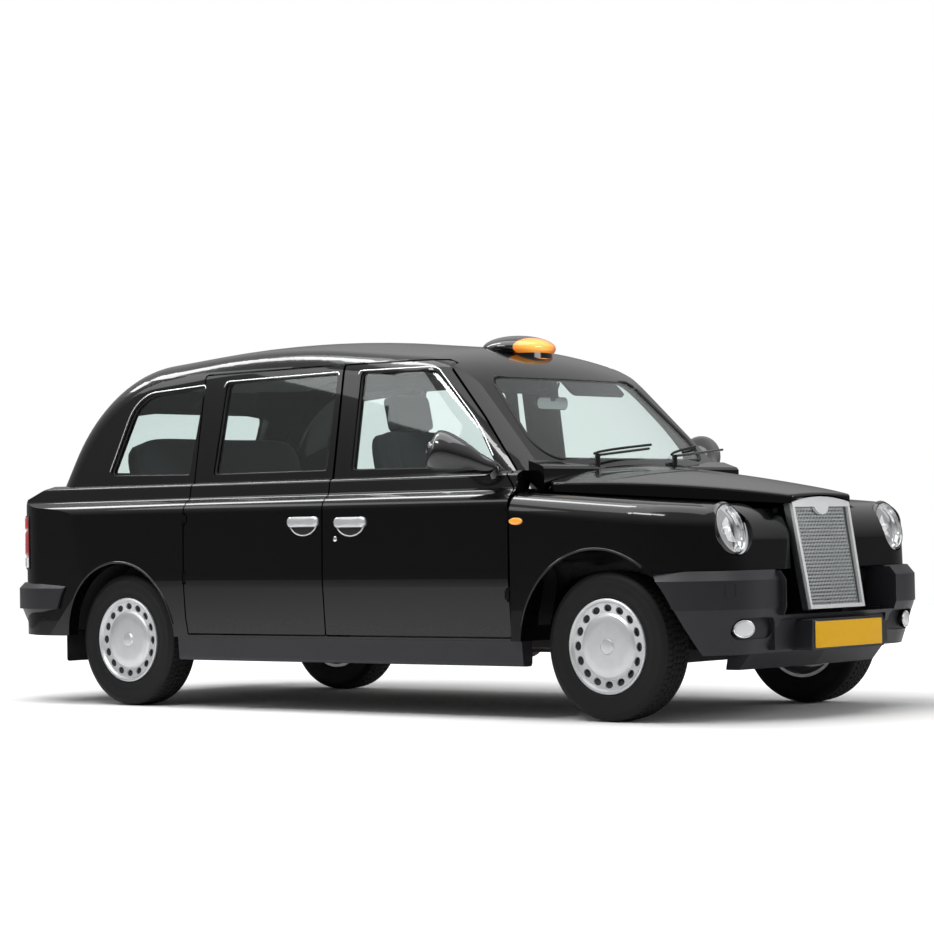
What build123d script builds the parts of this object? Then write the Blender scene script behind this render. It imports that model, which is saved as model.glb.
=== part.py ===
"""London-style taxi cab, right-hand drive, as an assembly of separate panels and running gear.

Units are millimetres.  +X is forward, +Y is the cab's left, +Z is up, and the origin lies on the
ground in the middle of the cab's outline.
"""

from build123d import *
import os
from math import cos, radians, sin, tan

os.makedirs("parts", exist_ok=True)

# ---- driving dimensions ---------------------------------------------------------------
WHEELBASE = 2930
TYRE_RADIUS = 320
TYRE_WIDTH = 176
RIM_RADIUS = 203
FRONT_HALF_TRACK = 731
REAR_HALF_TRACK = 742
KINGPIN_INBOARD = 66

HALF_WIDTH = 890
SILL_BOTTOM = 230
SILL_TOP = 340
FLOOR_TOP = 385
BELT = 1062
WING_TOP = 985
DOOR_THICKNESS = 62
FRAME_THICKNESS = 42
SHUT_GAP = 8
FRAME_GAP = 14
SEAL_GAP = 0.3
GLASS = 5
GLASS_SET_BACK = 16

CROWN_RADIUS = 3700
GREENHOUSE_BASE_HALF_WIDTH = 806
TUMBLEHOME = 9.8
ROOF_EDGE_RADIUS = 135
PILLAR_RADIUS = 300
PILLAR_DRAW_IN = 60

# the front-most point is the pad for the number plate; this puts the origin midway to the rear bumper
CENTRING = 29
FRONT_AXLE = 1580
REAR_AXLE = FRONT_AXLE - WHEELBASE
AXLE_Z = TYRE_RADIUS
FRONT_ARCH_RADIUS = 408
REAR_ARCH_RADIUS = 372

DOOR_SPLIT = 14
FRONT_DOOR_EDGE = 1112
REAR_DOOR_EDGE = -890

RIGHT = -1
LEFT = 1

parts = {}


# ---- drawing helpers ------------------------------------------------------------------
def corners(points, radii=0):
    """A flat outline through the points, each corner rounded by its own radius."""
    if isinstance(radii, (int, float)):
        radii = [radii] * len(points)
    if max(radii) == 0:
        return make_face(Polyline(*points, close=True).edges())
    return make_face(FilletPolyline(*points, radius=radii, close=True).edges())


def along_y(face, y_low, y_high):
    """Side-view outline, drawn in X and Z, pushed from y_low to y_high."""
    return extrude(Plane.XZ.offset(-y_high) * face, amount=y_high - y_low)


def along_x(face, x_low, x_high):
    """Front-view outline, drawn in Y and Z, pushed from x_low to x_high."""
    return extrude(Plane.YZ.offset(x_low) * face, amount=x_high - x_low)


def along_z(face, z_low, z_high):
    """Plan outline, drawn in X and Y, pushed from z_low to z_high."""
    return extrude(Plane.XY.offset(z_low) * face, amount=z_high - z_low)


def drum_z(x, y, radius, z_low, z_high):
    """Upright cylinder."""
    return Pos(x, y, (z_low + z_high) / 2) * Cylinder(radius, z_high - z_low)


def block(x_low, x_high, y_low, y_high, z_low, z_high):
    middle = Pos((x_low + x_high) / 2, (y_low + y_high) / 2, (z_low + z_high) / 2)
    return middle * Box(x_high - x_low, y_high - y_low, z_high - z_low)


def rod(start, end, radius):
    """A round bar between two points."""
    line = Vector(*end) - Vector(*start)
    return extrude(Plane(origin=start, z_dir=line) * Circle(radius), amount=line.length)


def drum(x, z, radius, y_low, y_high):
    """A cylinder across the cab."""
    return rod((x, y_low, z), (x, y_high, z), radius)


def other_side(shape):
    return mirror(shape, about=Plane.XZ)


def solids_of(shape):
    found = []
    for item in (shape if isinstance(shape, (list, ShapeList)) else [shape]):
        found += list(item.solids())
    return found


def keep(name, *shapes, smallest=200):
    """Store one node; crumbs under the smallest volume are left out."""
    found = []
    for shape in shapes:
        found += [s for s in solids_of(shape) if s.volume > smallest]
    if not found:
        raise ValueError(name + " has no solid")
    parts[name] = found[0] if len(found) == 1 else Compound(children=found)
    parts[name].label = name


# ---- master shapes --------------------------------------------------------------------
# (x, z, corner radius) of the greenhouse's centre line, from the windscreen foot over the roof
GREENHOUSE_LINE = (
    (1341, 960, 0),
    (615, 1655, 600),
    (-480, 1762, 4800),
    (-1640, 1672, 740),
    (-1975, 960, 0),
)


def greenhouse(inset):
    """The cab above the belt: a crowned solid of revolution with leaning sides and one soft edge."""
    outline = corners([(x, z) for x, z, r in GREENHOUSE_LINE], [r for x, z, r in GREENHOUSE_LINE])
    if inset:
        outline = offset(outline, amount=-inset, kind=Kind.ARC)
    crown_axis = Axis((0, 0, max(z for x, z, r in GREENHOUSE_LINE) - CROWN_RADIUS), (1, 0, 0))
    half_turn = 19
    start = (Plane.XZ * outline).rotate(crown_axis, -half_turn)
    crowned = revolve(start, crown_axis, 2 * half_turn)
    low, high = 940, 1800
    lean = tan(radians(TUMBLEHOME))
    wide = GREENHOUSE_BASE_HALF_WIDTH - inset / cos(radians(TUMBLEHOME)) - (low - BELT) * lean
    narrow = wide - (high - low) * lean
    sides = corners([(-wide, low), (wide, low), (narrow, high), (-narrow, high)])
    body = crowned & along_x(sides, -2100, 1400)
    edges = []
    for face in body.faces():
        if abs(face.normal_at().Y) > 0.9:
            edges += [e for e in face.edges() if e.center().Z > 960 + inset + 40]
    body = fillet(edges, ROOF_EDGE_RADIUS - inset)
    return body & screen_corners(inset)


def screen_corners(inset):
    """Leaning prism that draws the sides in towards the windscreen and rounds its two pillars."""
    lean = tan(radians(TUMBLEHOME))
    (x0, z0, r0), (x1, z1, r1) = GREENHOUSE_LINE[:2]
    radius = PILLAR_RADIUS - 1.2 * inset
    slope = PILLAR_DRAW_IN / 900
    outlines = []
    for z in (900, 1850):
        half = GREENHOUSE_BASE_HALF_WIDTH - inset / cos(radians(TUMBLEHOME)) - (z - BELT) * lean
        nose = x0 + (x1 - x0) * (z - z0) / (z1 - z0) - 1.45 * inset + 14
        rows = [(x, half - (x - 300) * slope) for x in (-2300, nose)]
        rows += [(x, -y) for x, y in rows[::-1]]
        outlines.append((Plane.XY.offset(z) * corners(rows, [0, radius, radius, 0])).wires()[0])
    return Solid.make_loft(outlines, True)


# (y, z, corner radius) of half the lower body's cross-section
WAIST_LINE = (
    (872, SILL_TOP, 0),
    (890, 600, 600),
    (884, 960, 62),
    (838, 996, 20),
    (826, BELT, 14),
    (790, BELT + 16, 0),
)
# (x, y, corner radius) of half the lower body's plan
TAIL_PLAN = (
    (1400, 900, 0),
    (-1450, 900, 2500),
    (-2185, 850, 270),
    (-2225, 0, 0),
)
# (x, z, corner radius) of the tail in side view
TAIL_LINE = (
    (-2195, SILL_TOP, 0),
    (-2180, 700, 500),
    (-2093, 1000, 110),
    (-1900, 1078, 0),
)


def lower_body(inset):
    """The cab below the belt, from the tail to the windscreen foot."""
    half = [(y - inset, z) for y, z, r in WAIST_LINE[:-1]]
    half.append((WAIST_LINE[-1][0] - inset, WAIST_LINE[-1][1] - inset))
    right = [(-y, z) for y, z in half]
    radii = [r for y, z, r in WAIST_LINE]
    section = corners(half + right[::-1], radii + radii[::-1])
    plan_half = [(x + (inset if x < -1900 else 0), max(y - inset, 0)) for x, y, r in TAIL_PLAN]
    plan_right = [(x, -y) for x, y in plan_half[:-1]]
    plan_radii = [r for x, y, r in TAIL_PLAN]
    plan = corners(plan_half + plan_right[::-1], plan_radii + plan_radii[:-1][::-1])
    side = [(x + inset, z) for x, z, r in TAIL_LINE[:-1]] + [(TAIL_LINE[-1][0], TAIL_LINE[-1][1] - inset)]
    side += [(1400, 1100), (1400, SILL_TOP)]
    side_radii = [max(r - inset, 12) if r else 0 for x, z, r in TAIL_LINE] + [0, 0]
    body = along_x(section, -2300, FRONT_DOOR_EDGE + SHUT_GAP)
    body = body & along_z(plan, 200, 1200)
    return body & along_y(corners(side, side_radii), -950, 950)


# (x, y, corner radius) of half the front end's plan at the height of the bumper's top
NOSE_PLAN = (
    (900, 890, 0),
    (1770, 890, 600),
    (2138, 845, 320),
    (2138, 0, 0),
)
# the nose in side view: its foot (x, z), and the corner where it meets the wings' top line (x, radius)
NOSE_FOOT = (2146, 300)
NOSE_CORNER = (2128, 170)
NOSE_LEAN = 0.03
NOSE_BASE = 560
WING_EDGE_RADIUS = 96
WING_SLOPE = 0.08
WING_INNER_Y = 244
BAY_HALF_WIDTH = 392
HOUSING_INNER_Y = 404


def wing_top(x):
    """Height of the wing's top surface."""
    return WING_TOP - (x - FRONT_DOOR_EDGE) * WING_SLOPE


def front_end():
    """Both wings and the nose as one form, before it is split into panels."""
    plan_right = [(x, -y) for x, y, r in NOSE_PLAN[:-1]]
    plan_radii = [r for x, y, r in NOSE_PLAN]
    plan = corners([(x, y) for x, y, r in NOSE_PLAN] + plan_right[::-1], plan_radii + plan_radii[:-1][::-1])
    upper = extrude(Plane.XY.offset(NOSE_BASE) * plan, amount=500, dir=(-NOSE_LEAN, 0, 1))
    lower = extrude(Plane.XY.offset(NOSE_BASE) * plan, amount=NOSE_BASE - SILL_TOP, dir=(0, 0, -1))
    start = FRONT_DOOR_EDGE + SHUT_GAP
    side = corners([(start, SILL_TOP - 5), (2300, SILL_TOP - 5), (2300, wing_top(2300)), (start, wing_top(start))])
    form = upper & along_y(side, -950, 950)
    top = form.faces().sort_by(Axis.Z)[-1]
    rim = [e for e in top.edges() if e.center().X > start + 5]
    form = fillet(rim, WING_EDGE_RADIUS)
    (x0, z0), (x1, radius) = NOSE_FOOT, NOSE_CORNER
    outline = [(start - 50, z0), (x0, z0), (x1, wing_top(x1)), (start - 50, wing_top(start - 50))]
    rounded = along_y(corners(outline, [0, 0, radius, 0]), -950, 950)
    return form & rounded, lower & along_y(side, -950, 950)


# ---- openings in side view: (x, z, corner radius) ---------------------------------------
DOOR_BOTTOM = SILL_TOP + 14
DOOR_TOP = 1595
ROOF_LINE = 1603
DOOR_INNER_Y = 588
FRONT_DOOR = (
    (DOOR_SPLIT, DOOR_BOTTOM, 12),
    (FRONT_DOOR_EDGE, DOOR_BOTTOM, 12),
    (FRONT_DOOR_EDGE, 1000, 60),
    (1036, 1092, 60),
    (838, 1318, 900),
    (572, DOOR_TOP, 60),
    (DOOR_SPLIT, DOOR_TOP, 8),
)
REAR_DOOR = (
    (REAR_DOOR_EDGE, DOOR_BOTTOM, 12),
    (DOOR_SPLIT, DOOR_BOTTOM, 12),
    (DOOR_SPLIT, DOOR_TOP, 8),
    (REAR_DOOR_EDGE, DOOR_TOP - 6, 20),
)
DOOR_ARCH_RADIUS = 468
# hinge heights: (front door, rear door)
DOOR_HINGES = ((520, 600), (860, 880))
DOOR_HINGE_Y = 886
HINGE_HEIGHT = 40
DOOR_PIN = 3
FRONT_WINDOW = (
    (118, 1104, 16),
    (950, 1096, 14),
    (817, 1282, 900),
    (552, 1546, 60),
    (122, 1556, 16),
)
REAR_WINDOW = (
    (-770, 1106, 16),
    (-32, 1105, 16),
    (-22, 1556, 16),
    (-742, 1546, 30),
)
QUARTER_WINDOW = (
    (-1492, 1118, 24),
    (-930, 1108, 16),
    (-890, 1535, 16),
    (-1345, 1502, 190),
)
ROOF_PANEL = (
    (1000, 1530),
    (690, 1530),
    (605, ROOF_LINE),
    (-890, ROOF_LINE),
    (-1450, 1572),
    (-2000, 1500),
    (-2000, 1900),
    (1000, 1900),
)
# front and rear glass outlines: (y, z, corner radius)
WINDSCREEN = (
    (-628, 1128, 90),
    (628, 1128, 90),
    (520, 1512, 70),
    (-520, 1512, 70),
)
REAR_SCREEN = (
    (-560, 1140, 80),
    (560, 1140, 80),
    (500, 1452, 90),
    (-500, 1452, 90),
)
BOOT_TOP_EDGE = -1996
BOOT_HINGE = (-1992, 1048)
BOOT_HINGE_Y = 300
HINGE_PIN = 4
BOOT_LID = (
    (-520, 612, 30),
    (520, 612, 30),
    (500, 1120, 0),
    (-500, 1120, 0),
)
TAIL_HALF_WIDTH = 585
TAIL_PANEL_X = -1700


def table(rows, gap=0):
    """Rounded outline from a table of points, made smaller all round by a gap."""
    face = corners([row[:2] for row in rows], [row[2] for row in rows])
    if gap:
        face = offset(face, amount=-gap, kind=Kind.ARC)
    return face


def side_cut(rows, gap, side, reach=DOOR_INNER_Y):
    """Prism through one side of the cab, from the outside to well inside the skin."""
    y_low, y_high = sorted((side * 1000, side * reach))
    return along_y(table(rows, gap), y_low, y_high)


outer = lower_body(0) + greenhouse(0)
inner = lower_body(DOOR_THICKNESS) + greenhouse(FRAME_THICKNESS)
shell = outer - inner
liner = (lower_body(DOOR_THICKNESS + 8) + greenhouse(FRAME_THICKNESS + 8)) - (
    lower_body(DOOR_THICKNESS + 34) + greenhouse(FRAME_THICKNESS + 34)
)
door_backs = lower_body(DOOR_THICKNESS + 7)
glass_skin = greenhouse(GLASS_SET_BACK) - greenhouse(GLASS_SET_BACK + GLASS)
screen_skin = greenhouse(2) - greenhouse(2 + GLASS)
roof_region = along_y(corners(ROOF_PANEL), -1000, 1000)
roof_region = roof_region + block(-1400, 1100, -DOOR_INNER_Y + SHUT_GAP, DOOR_INNER_Y - SHUT_GAP, 1520, 1800)
windscreen_hole = along_x(table(WINDSCREEN), 600, 1400)
rear_screen_hole = along_x(table(REAR_SCREEN), -2100, -1650)
boot_region = along_x(table(BOOT_LID), -2300, BOOT_TOP_EDGE)
tail_region = block(-2300, TAIL_PANEL_X, -TAIL_HALF_WIDTH, TAIL_HALF_WIDTH, 300, 1700)


def hinge(x, side, base):
    """One pin hinge at a door's outer edge: its knuckle, the space round it and the fixed pin."""
    outward = 1 if x > 0 else -1
    y = side * DOOR_HINGE_Y
    y_low, y_high = sorted((y - side * 6, y + side * 3))
    top = base + HINGE_HEIGHT
    pocket = drum_z(x, y, 12, base - 10, top + 10)
    link_low, link_high = sorted((x, x - outward * 20))
    knuckle = drum_z(x, y, 6.5, base, top) + block(link_low, link_high, y_low, y_high, base, top)
    knuckle = knuckle - drum_z(x, y, DOOR_PIN + SEAL_GAP, base, top)
    plate_low, plate_high = sorted((x - outward * 3, x + outward * 16))
    plate = block(plate_low, plate_high, y - 4, y + 4, top + 1, top + 6)
    pin = drum_z(x, y, DOOR_PIN, base, top + 6) + plate
    return pocket, knuckle, pin


def doors():
    """Four doors, each with its window frame, and their glasses."""
    for side, word in ((RIGHT, "right"), (LEFT, "left")):
        arch = drum(REAR_AXLE, AXLE_Z, DOOR_ARCH_RADIUS + SHUT_GAP, -1000, 1000)
        upper_gap = block(DOOR_SPLIT - FRAME_GAP / 2, DOOR_SPLIT + FRAME_GAP / 2, -1000, 1000, BELT, 1700)
        front = shell & side_cut(FRONT_DOOR, SHUT_GAP / 2, side)
        front = front - side_cut(FRONT_WINDOW, 0, side) - upper_gap
        rear = shell & side_cut(REAR_DOOR, SHUT_GAP / 2, side)
        rear = rear - side_cut(REAR_WINDOW, 0, side) - upper_gap - arch
        for base in DOOR_HINGES:
            pocket, knuckle, pin = hinge(FRONT_DOOR_EDGE - SHUT_GAP / 2, side, base[0])
            front = front - pocket + knuckle
            pocket, knuckle, pin = hinge(REAR_DOOR_EDGE + SHUT_GAP / 2, side, base[1])
            rear = rear - pocket + knuckle
        keep(word + "_front_door", front, smallest=20000)
        keep(word + "_rear_door", rear, smallest=20000)
        keep(word + "_front_glass", glass_skin & side_cut(FRONT_WINDOW, SEAL_GAP, side))
        keep(word + "_rear_glass", glass_skin & side_cut(REAR_WINDOW, SEAL_GAP, side))


def body_sides():
    """Pillars, rear quarter with its wheel arch, and the rocker under the doors."""
    for side, word in ((RIGHT, "right"), (LEFT, "left")):
        half = block(-2300, 1400, -1000, 0, 300, 1700) if side == RIGHT else block(-2300, 1400, 0, 1000, 300, 1700)
        arch = drum(REAR_AXLE, AXLE_Z, REAR_ARCH_RADIUS, -1000, 1000)
        frame = (shell & half) - roof_region - tail_region - windscreen_hole
        frame = frame - block(1080, 1400, -700, 700, 900, WINDSCREEN[0][1]) - rear_screen_hole
        frame = frame - block(1119, 1400, -1000, 1000, 900, WING_TOP + SEAL_GAP) - block(1190, 1500, -1000, 1000, 900, 1100)
        frame = frame - block(FRONT_DOOR_EDGE - SHUT_GAP, 1400, -1000, 1000, 300, WING_TOP + SEAL_GAP)
        for rows in (FRONT_DOOR, REAR_DOOR):
            opening = side_cut(rows, -SHUT_GAP / 2, side, DOOR_INNER_Y - SHUT_GAP)
            if rows is REAR_DOOR:
                opening = opening - drum(REAR_AXLE, AXLE_Z, DOOR_ARCH_RADIUS, -1000, 1000)
            frame = frame - opening
        frame = frame - side_cut(QUARTER_WINDOW, 0, side) - arch
        y_low, y_high = sorted((side * 620, side * 1000))
        pillar = liner & block(-48, 76, y_low, y_high, SILL_TOP, ROOF_LINE)
        skin = shell & block(-60, 90, y_low, y_high, DOOR_BOTTOM, DOOR_TOP)
        for step in ((0, 7), (0, -7), (5, 5), (5, -5)):
            pillar = pillar - Pos(0, -side * step[0], step[1]) * skin
        top = greenhouse(FRAME_THICKNESS + SEAL_GAP) - greenhouse(FRAME_THICKNESS + 34)
        pillar = pillar + (top & block(-48, 76, y_low, y_high, DOOR_TOP + 4, 1640))
        rocker = block(-48, 76, side * 800 - 30, side * 800 + 30, SILL_TOP, DOOR_BOTTOM - SHUT_GAP)
        for base in DOOR_HINGES:
            pocket, knuckle, pin = hinge(REAR_DOOR_EDGE + SHUT_GAP / 2, side, base[1])
            frame = frame - pocket + pin
        keep(word + "_body_side", frame + rocker + pillar, smallest=20000)
    quarter = [glass_skin & side_cut(QUARTER_WINDOW, SEAL_GAP, side) for side in (RIGHT, LEFT)]
    keep("quarter_windows", *quarter)


def roof():
    """Roof panel with the header over the windscreen."""
    keep("roof", (shell & roof_region) - windscreen_hole - rear_screen_hole, smallest=20000)


def tail():
    """Rear panel round the rear window and the boot opening, the boot lid and the rear window."""
    panel = (shell & tail_region) - roof_region - rear_screen_hole
    opening = along_x(table(BOOT_LID, -SHUT_GAP), -2300, BOOT_TOP_EDGE + SHUT_GAP)
    panel = panel - opening
    lid = shell & boot_region & block(-2300, BOOT_TOP_EDGE, -700, 700, 600, 1120)
    x, z = BOOT_HINGE
    for side in (RIGHT, LEFT):
        y = side * BOOT_HINGE_Y
        pin = rod((x, y, z), (x, y + side * 26, z), HINGE_PIN) + block(x + 2, x + 24, y - 3, y + 3, z - 20, z + 6)
        y_low, y_high = sorted((y + side * 9, y + side * 23))
        panel = panel - block(x - 4, x + 14, y_low - 5, y_high + 5, z - 34, z + 20) + pin
        lid = lid + block(x - 30, x + 6, y_low, y_high, z - 26, z + 8)
        lid = lid - rod((x, y, z), (x, y + side * 28, z), HINGE_PIN + SEAL_GAP)
    keep("tail_panel", panel, smallest=20000)
    keep("boot_lid", lid, smallest=20000)
    keep("rear_window", screen_skin & along_x(table(REAR_SCREEN, SEAL_GAP), -2100, -1650))
    keep("windscreen", screen_skin & along_x(table(WINDSCREEN, SEAL_GAP), 600, 1400))


# ---- front end -----------------------------------------------------------------------
BONNET_REAR = 1202
BONNET_FRONT = 2138
BONNET_REAR_HALF = 738
BONNET_FRONT_HALF = 232
BONNET_HEIGHT = ((1202, 1104), (1700, 1037), (2138, 958))
HEADER_CLEARANCE = 6
BONNET_THICKNESS = 20
BONNET_HINGE = (1212, 1093)
SCUTTLE_LINE = ((1110, 985.3), (1196, 985.3), (1196, 1084), (1186, 1096), (1110, 1122))
HINGE_Y = 70
BONNET_CROWN = 3300
HEADLAMP = (2060, 615, 801)
HEADLAMP_HALF_WIDTH = 96
HEADLAMP_HALF_HEIGHT = 106
HEADLAMP_TILT = 16
BEZEL = 13
LAMP_DEPTH = 90


def bonnet_form(inset):
    """Crowned bonnet, standing on the plane of the wing tops."""
    (x0, z0), (x1, z1), (x2, z2) = [(x, z - inset) for x, z in BONNET_HEIGHT]
    lift = SHUT_GAP if inset == 0 else -60
    top = ThreePointArc((x0 - 20, z0 + 1), (x1, z1), (x2 + 40, z2 - 9))
    foot = Polyline(
        (x2 + 40, z2 - 9),
        (x2 + 40, wing_top(x2 + 40) + lift),
        (x0 - 20, wing_top(x0 - 20) + lift),
        (x0 - 20, z0 + 1),
    )
    crown_axis = Axis((0, 0, BONNET_HEIGHT[1][1] - BONNET_CROWN), (1, 0, 0))
    start = (Plane.XZ * make_face([top, *foot.edges()])).rotate(crown_axis, -16)
    form = revolve(start, crown_axis, 32)
    rear, front = BONNET_REAR_HALF - inset, BONNET_FRONT_HALF - inset
    plan = [(BONNET_REAR + inset, -rear), (BONNET_FRONT - inset, -front)]
    plan += [(BONNET_FRONT - inset, front), (BONNET_REAR + inset, rear)]
    form = form & along_z(corners(plan, [30, 26, 26, 30]), 700, 1300)
    side = [(x0 - 30, wing_top(x0 - 30) + lift), (2300, wing_top(2300) + lift), (2300, 1300), (x0 - 30, 1300)]
    form = form & along_y(corners(side), -900, 900)
    if inset == 0:
        rim = [e for e in form.faces().sort_by(Axis.Z)[-1].edges() if e.center().X > BONNET_REAR + 20]
        form = fillet(rim, 14)
    return form


def lamp_seat(side):
    """The plane of one headlamp's lens, leaning back; its first direction points down the lens."""
    x, y, z = HEADLAMP
    lean = radians(HEADLAMP_TILT)
    return Plane(origin=(x, side * y, z), x_dir=(sin(lean), 0, -cos(lean)), z_dir=(cos(lean), 0, sin(lean)))


def front_panels():
    """Wings, nose panel, scuttle and bonnet."""
    upper, lower = front_end()
    form = upper + lower
    bay = block(1110, 2052, -BAY_HALF_WIDTH, BAY_HALF_WIDTH, 200, 1100)
    bonnet_well = along_z(
        corners([(1100, -690), (2052, -215), (2052, 215), (1100, 690)]), 870, 1100
    )
    wings = form - bay - bonnet_well - block(1000, 2300, -WING_INNER_Y, WING_INNER_Y, 200, 1100)
    wings = wings - block(1700, 2300, -1000, 1000, 200, BUMPER_TOP + SEAL_GAP)
    for side in (RIGHT, LEFT):
        y_low, y_high = sorted((side * HOUSING_INNER_Y, side * 1000))
        wings = wings - drum(FRONT_AXLE, AXLE_Z, FRONT_ARCH_RADIUS, y_low, y_high)
        inner_low, inner_high = sorted((side * 380, side * 420))
        wings = wings - block(1410, 1750, inner_low, inner_high, 200, 585)
        seat = lamp_seat(side)
        hole = Ellipse(HEADLAMP_HALF_HEIGHT + BEZEL + SEAL_GAP, HEADLAMP_HALF_WIDTH + BEZEL + SEAL_GAP)
        wings = wings - extrude(seat.offset(-LAMP_DEPTH - SEAL_GAP) * hole, amount=300)
        for base in DOOR_HINGES:
            pocket, knuckle, pin = hinge(FRONT_DOOR_EDGE - SHUT_GAP / 2, side, base[0])
            wings = wings - pocket + pin
    keep("front_wings", wings, smallest=20000)
    half = WING_INNER_Y - SEAL_GAP
    nose = block(2052, 2074, -half, half, 430, NOSE_TOP)
    front, outside, inside = grille_outline()
    duct = extrude(front.offset(-GRILLE_DEPTH - SEAL_GAP) * offset(outside, amount=-8, kind=Kind.ARC), amount=-160)
    nose = nose + (duct & block(2060, 2300, -half, half, 430, NOSE_TOP))
    bore = extrude(front * offset(outside, amount=-26, kind=Kind.ARC), amount=-400)
    keep("nose_panel", nose - bore, smallest=20000)
    x, z = BONNET_HINGE
    lid = bonnet_form(0) - bonnet_form(BONNET_THICKNESS)
    over_header = front.offset(60) * offset(outside, amount=HEADER_CLEARANCE, kind=Kind.ARC)
    lid = lid - extrude(over_header, amount=-60 - GRILLE_DEPTH - HEADER_CLEARANCE)
    arms = []
    for side in (RIGHT, LEFT):
        y = side * HINGE_Y
        arms.append(block(1190, x + 5, y - 3, y + 3, z - 24, z + 7) + rod((x, y, z), (x, y + side * 26, z), HINGE_PIN))
        lid = lid - block(1190, x + 14, y - 8, y + 8, z - 60, z + 60)
        lid = lid - rod((x, y, z), (x, y + side * 28, z), HINGE_PIN + SEAL_GAP)
    keep("bonnet", lid, smallest=20000)
    scuttle = along_y(corners(SCUTTLE_LINE), -735, 735)
    deck = block(FRONT_DOOR_EDGE + SHUT_GAP, 1192, -775, 775, WING_TOP + SEAL_GAP, WING_TOP + 12)
    under_screen = shell & block(1080, 1190, -700 + SEAL_GAP, 700 - SEAL_GAP, 1040, WINDSCREEN[0][1])
    middle = scuttle & block(1110, 1196, -700 + SEAL_GAP, 700 - SEAL_GAP, 980, 1085)
    scuttle = (scuttle + deck) - greenhouse(-SEAL_GAP) - lower_body(-SEAL_GAP) + middle
    scuttle = scuttle + under_screen - screen_skin - windscreen_hole
    for side in (RIGHT, LEFT):
        scuttle = scuttle - side_cut(FRONT_DOOR, -SHUT_GAP, side, 500)
    keep("scuttle_panel", scuttle + arms[0] + arms[1], smallest=20000)


# ---- bumpers, grille and lamps ---------------------------------------------------------
NOSE_TOP = 900
GRILLE_DEPTH = 44
BUMPER_TOP = 634
BUMPER_CHAMFER = 40
BUMPER_STEP = 474
BUMPER_BOTTOM = 284
BUMPER_TUCK = 62
BUMPER_BLOCK_INNER = 428
FRONT_BUMPER_PLAN = (
    (1700, 892, 0),
    (2185, 876, 340),
    (2235, 0, 0),
)
REAR_BUMPER_PLAN = (
    (-1600, 892, 0),
    (-2310, 884, 400),
    (-2320, 0, 0),
)


def plan_band(rows, inset, z_low, z_high, sign, inset_low=None):
    """Solid with a bumper's plan, drawn from one half's table; it may narrow towards its foot."""
    faces = []
    for z, back in ((z_low, inset if inset_low is None else inset_low), (z_high, inset)):
        half = [(x - sign * back, max(y - back, 0)) for x, y, r in rows]
        radii = [max(r - back, 0) for x, y, r in rows]
        points = half + [(x, -y) for x, y in half[:-1]][::-1]
        faces.append(Plane.XY.offset(z) * corners(points, radii + radii[:-1][::-1]))
    return Solid.make_loft([face.wires()[0] for face in faces], True)


# (y, z) of a fog lamp, and the middle of the recess that holds it
FOG_LAMP = (630, 392)
FOG_RECESS_Y = 568
FOG_WALL = 50
PLATE_PAD_X = 2262
BEYOND_X = 2300


def bumpers():
    """Two-tier bumpers that wrap round the corners to the wheel arches."""
    wall = 46
    rows = FRONT_BUMPER_PLAN
    upper = plan_band(rows, 0, BUMPER_STEP, BUMPER_TOP - BUMPER_CHAMFER, 1)
    upper = upper + plan_band(rows, 30, BUMPER_TOP - BUMPER_CHAMFER, BUMPER_TOP, 1, 0)
    lower = plan_band(rows, 4, BUMPER_BOTTOM, BUMPER_STEP, 1, BUMPER_TUCK)
    core = plan_band(rows, wall, 420, 700, 1) + plan_band(rows, wall + 4, 200, 420, 1, wall + BUMPER_TUCK + 20)
    bumper = (lower + upper) - core
    bumper = bumper - block(1900, 2400, -BUMPER_BLOCK_INNER, BUMPER_BLOCK_INNER, 442, 700)
    recess = along_x(corners([(-428, 304), (428, 304), (412, 428), (-412, 428)], 14), 2150, BEYOND_X)
    back_wall = block(2140, 2180, -440, 440, 296, 436)
    pad = along_x(corners([(-285, 288), (285, 288), (276, 420), (-276, 420)], 12), 2150, PLATE_PAD_X)
    skirt = plan_band(rows, 80, 214, 300, 1, 150) & block(1985, BEYOND_X, -520, 520, 200, 300)
    bumper = (bumper - recess) + back_wall + pad + skirt
    for side in (RIGHT, LEFT):
        y_low, y_high = sorted((side * 400, side * 1000))
        bumper = bumper - drum(FRONT_AXLE, AXLE_Z, FRONT_ARCH_RADIUS + 8, y_low, y_high)
        flare = corners([(1880, 480), (1968, 480), (2042, 270), (1880, 270)])
        bumper = bumper - along_y(flare, y_low, y_high)
        pocket = along_x(Pos(side * FOG_RECESS_Y, FOG_LAMP[1]) * SlotOverall(250, 90), 2100, BEYOND_X)
        back = block(2100, BEYOND_X, side * FOG_RECESS_Y - 170, side * FOG_RECESS_Y + 170, 330, 452)
        bumper = (bumper - pocket) + (back & plan_band(rows, FOG_WALL, 320, 460, 1))
    keep("front_bumper", bumper, smallest=5000)
    rows = REAR_BUMPER_PLAN
    lower = plan_band(rows, 14, 335, 470, -1, 64)
    upper = plan_band(rows, 0, 470, 572, -1) + plan_band(rows, 26, 572, 600, -1, 0)
    bumper = (lower + upper) - plan_band(rows, 90, 200, 700, -1)
    arch = drum(REAR_AXLE, AXLE_Z, REAR_ARCH_RADIUS + 90, -1000, 1000)
    keep("rear_bumper", bumper - arch - lower_body(-SEAL_GAP), smallest=5000)


GRILLE_FOOT = (2214, 461, 211)
GRILLE_HEAD = (2130, 940, 223)
GRILLE_BAR = 16
HEADER = 44
SHIELD = (56, 34)


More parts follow.
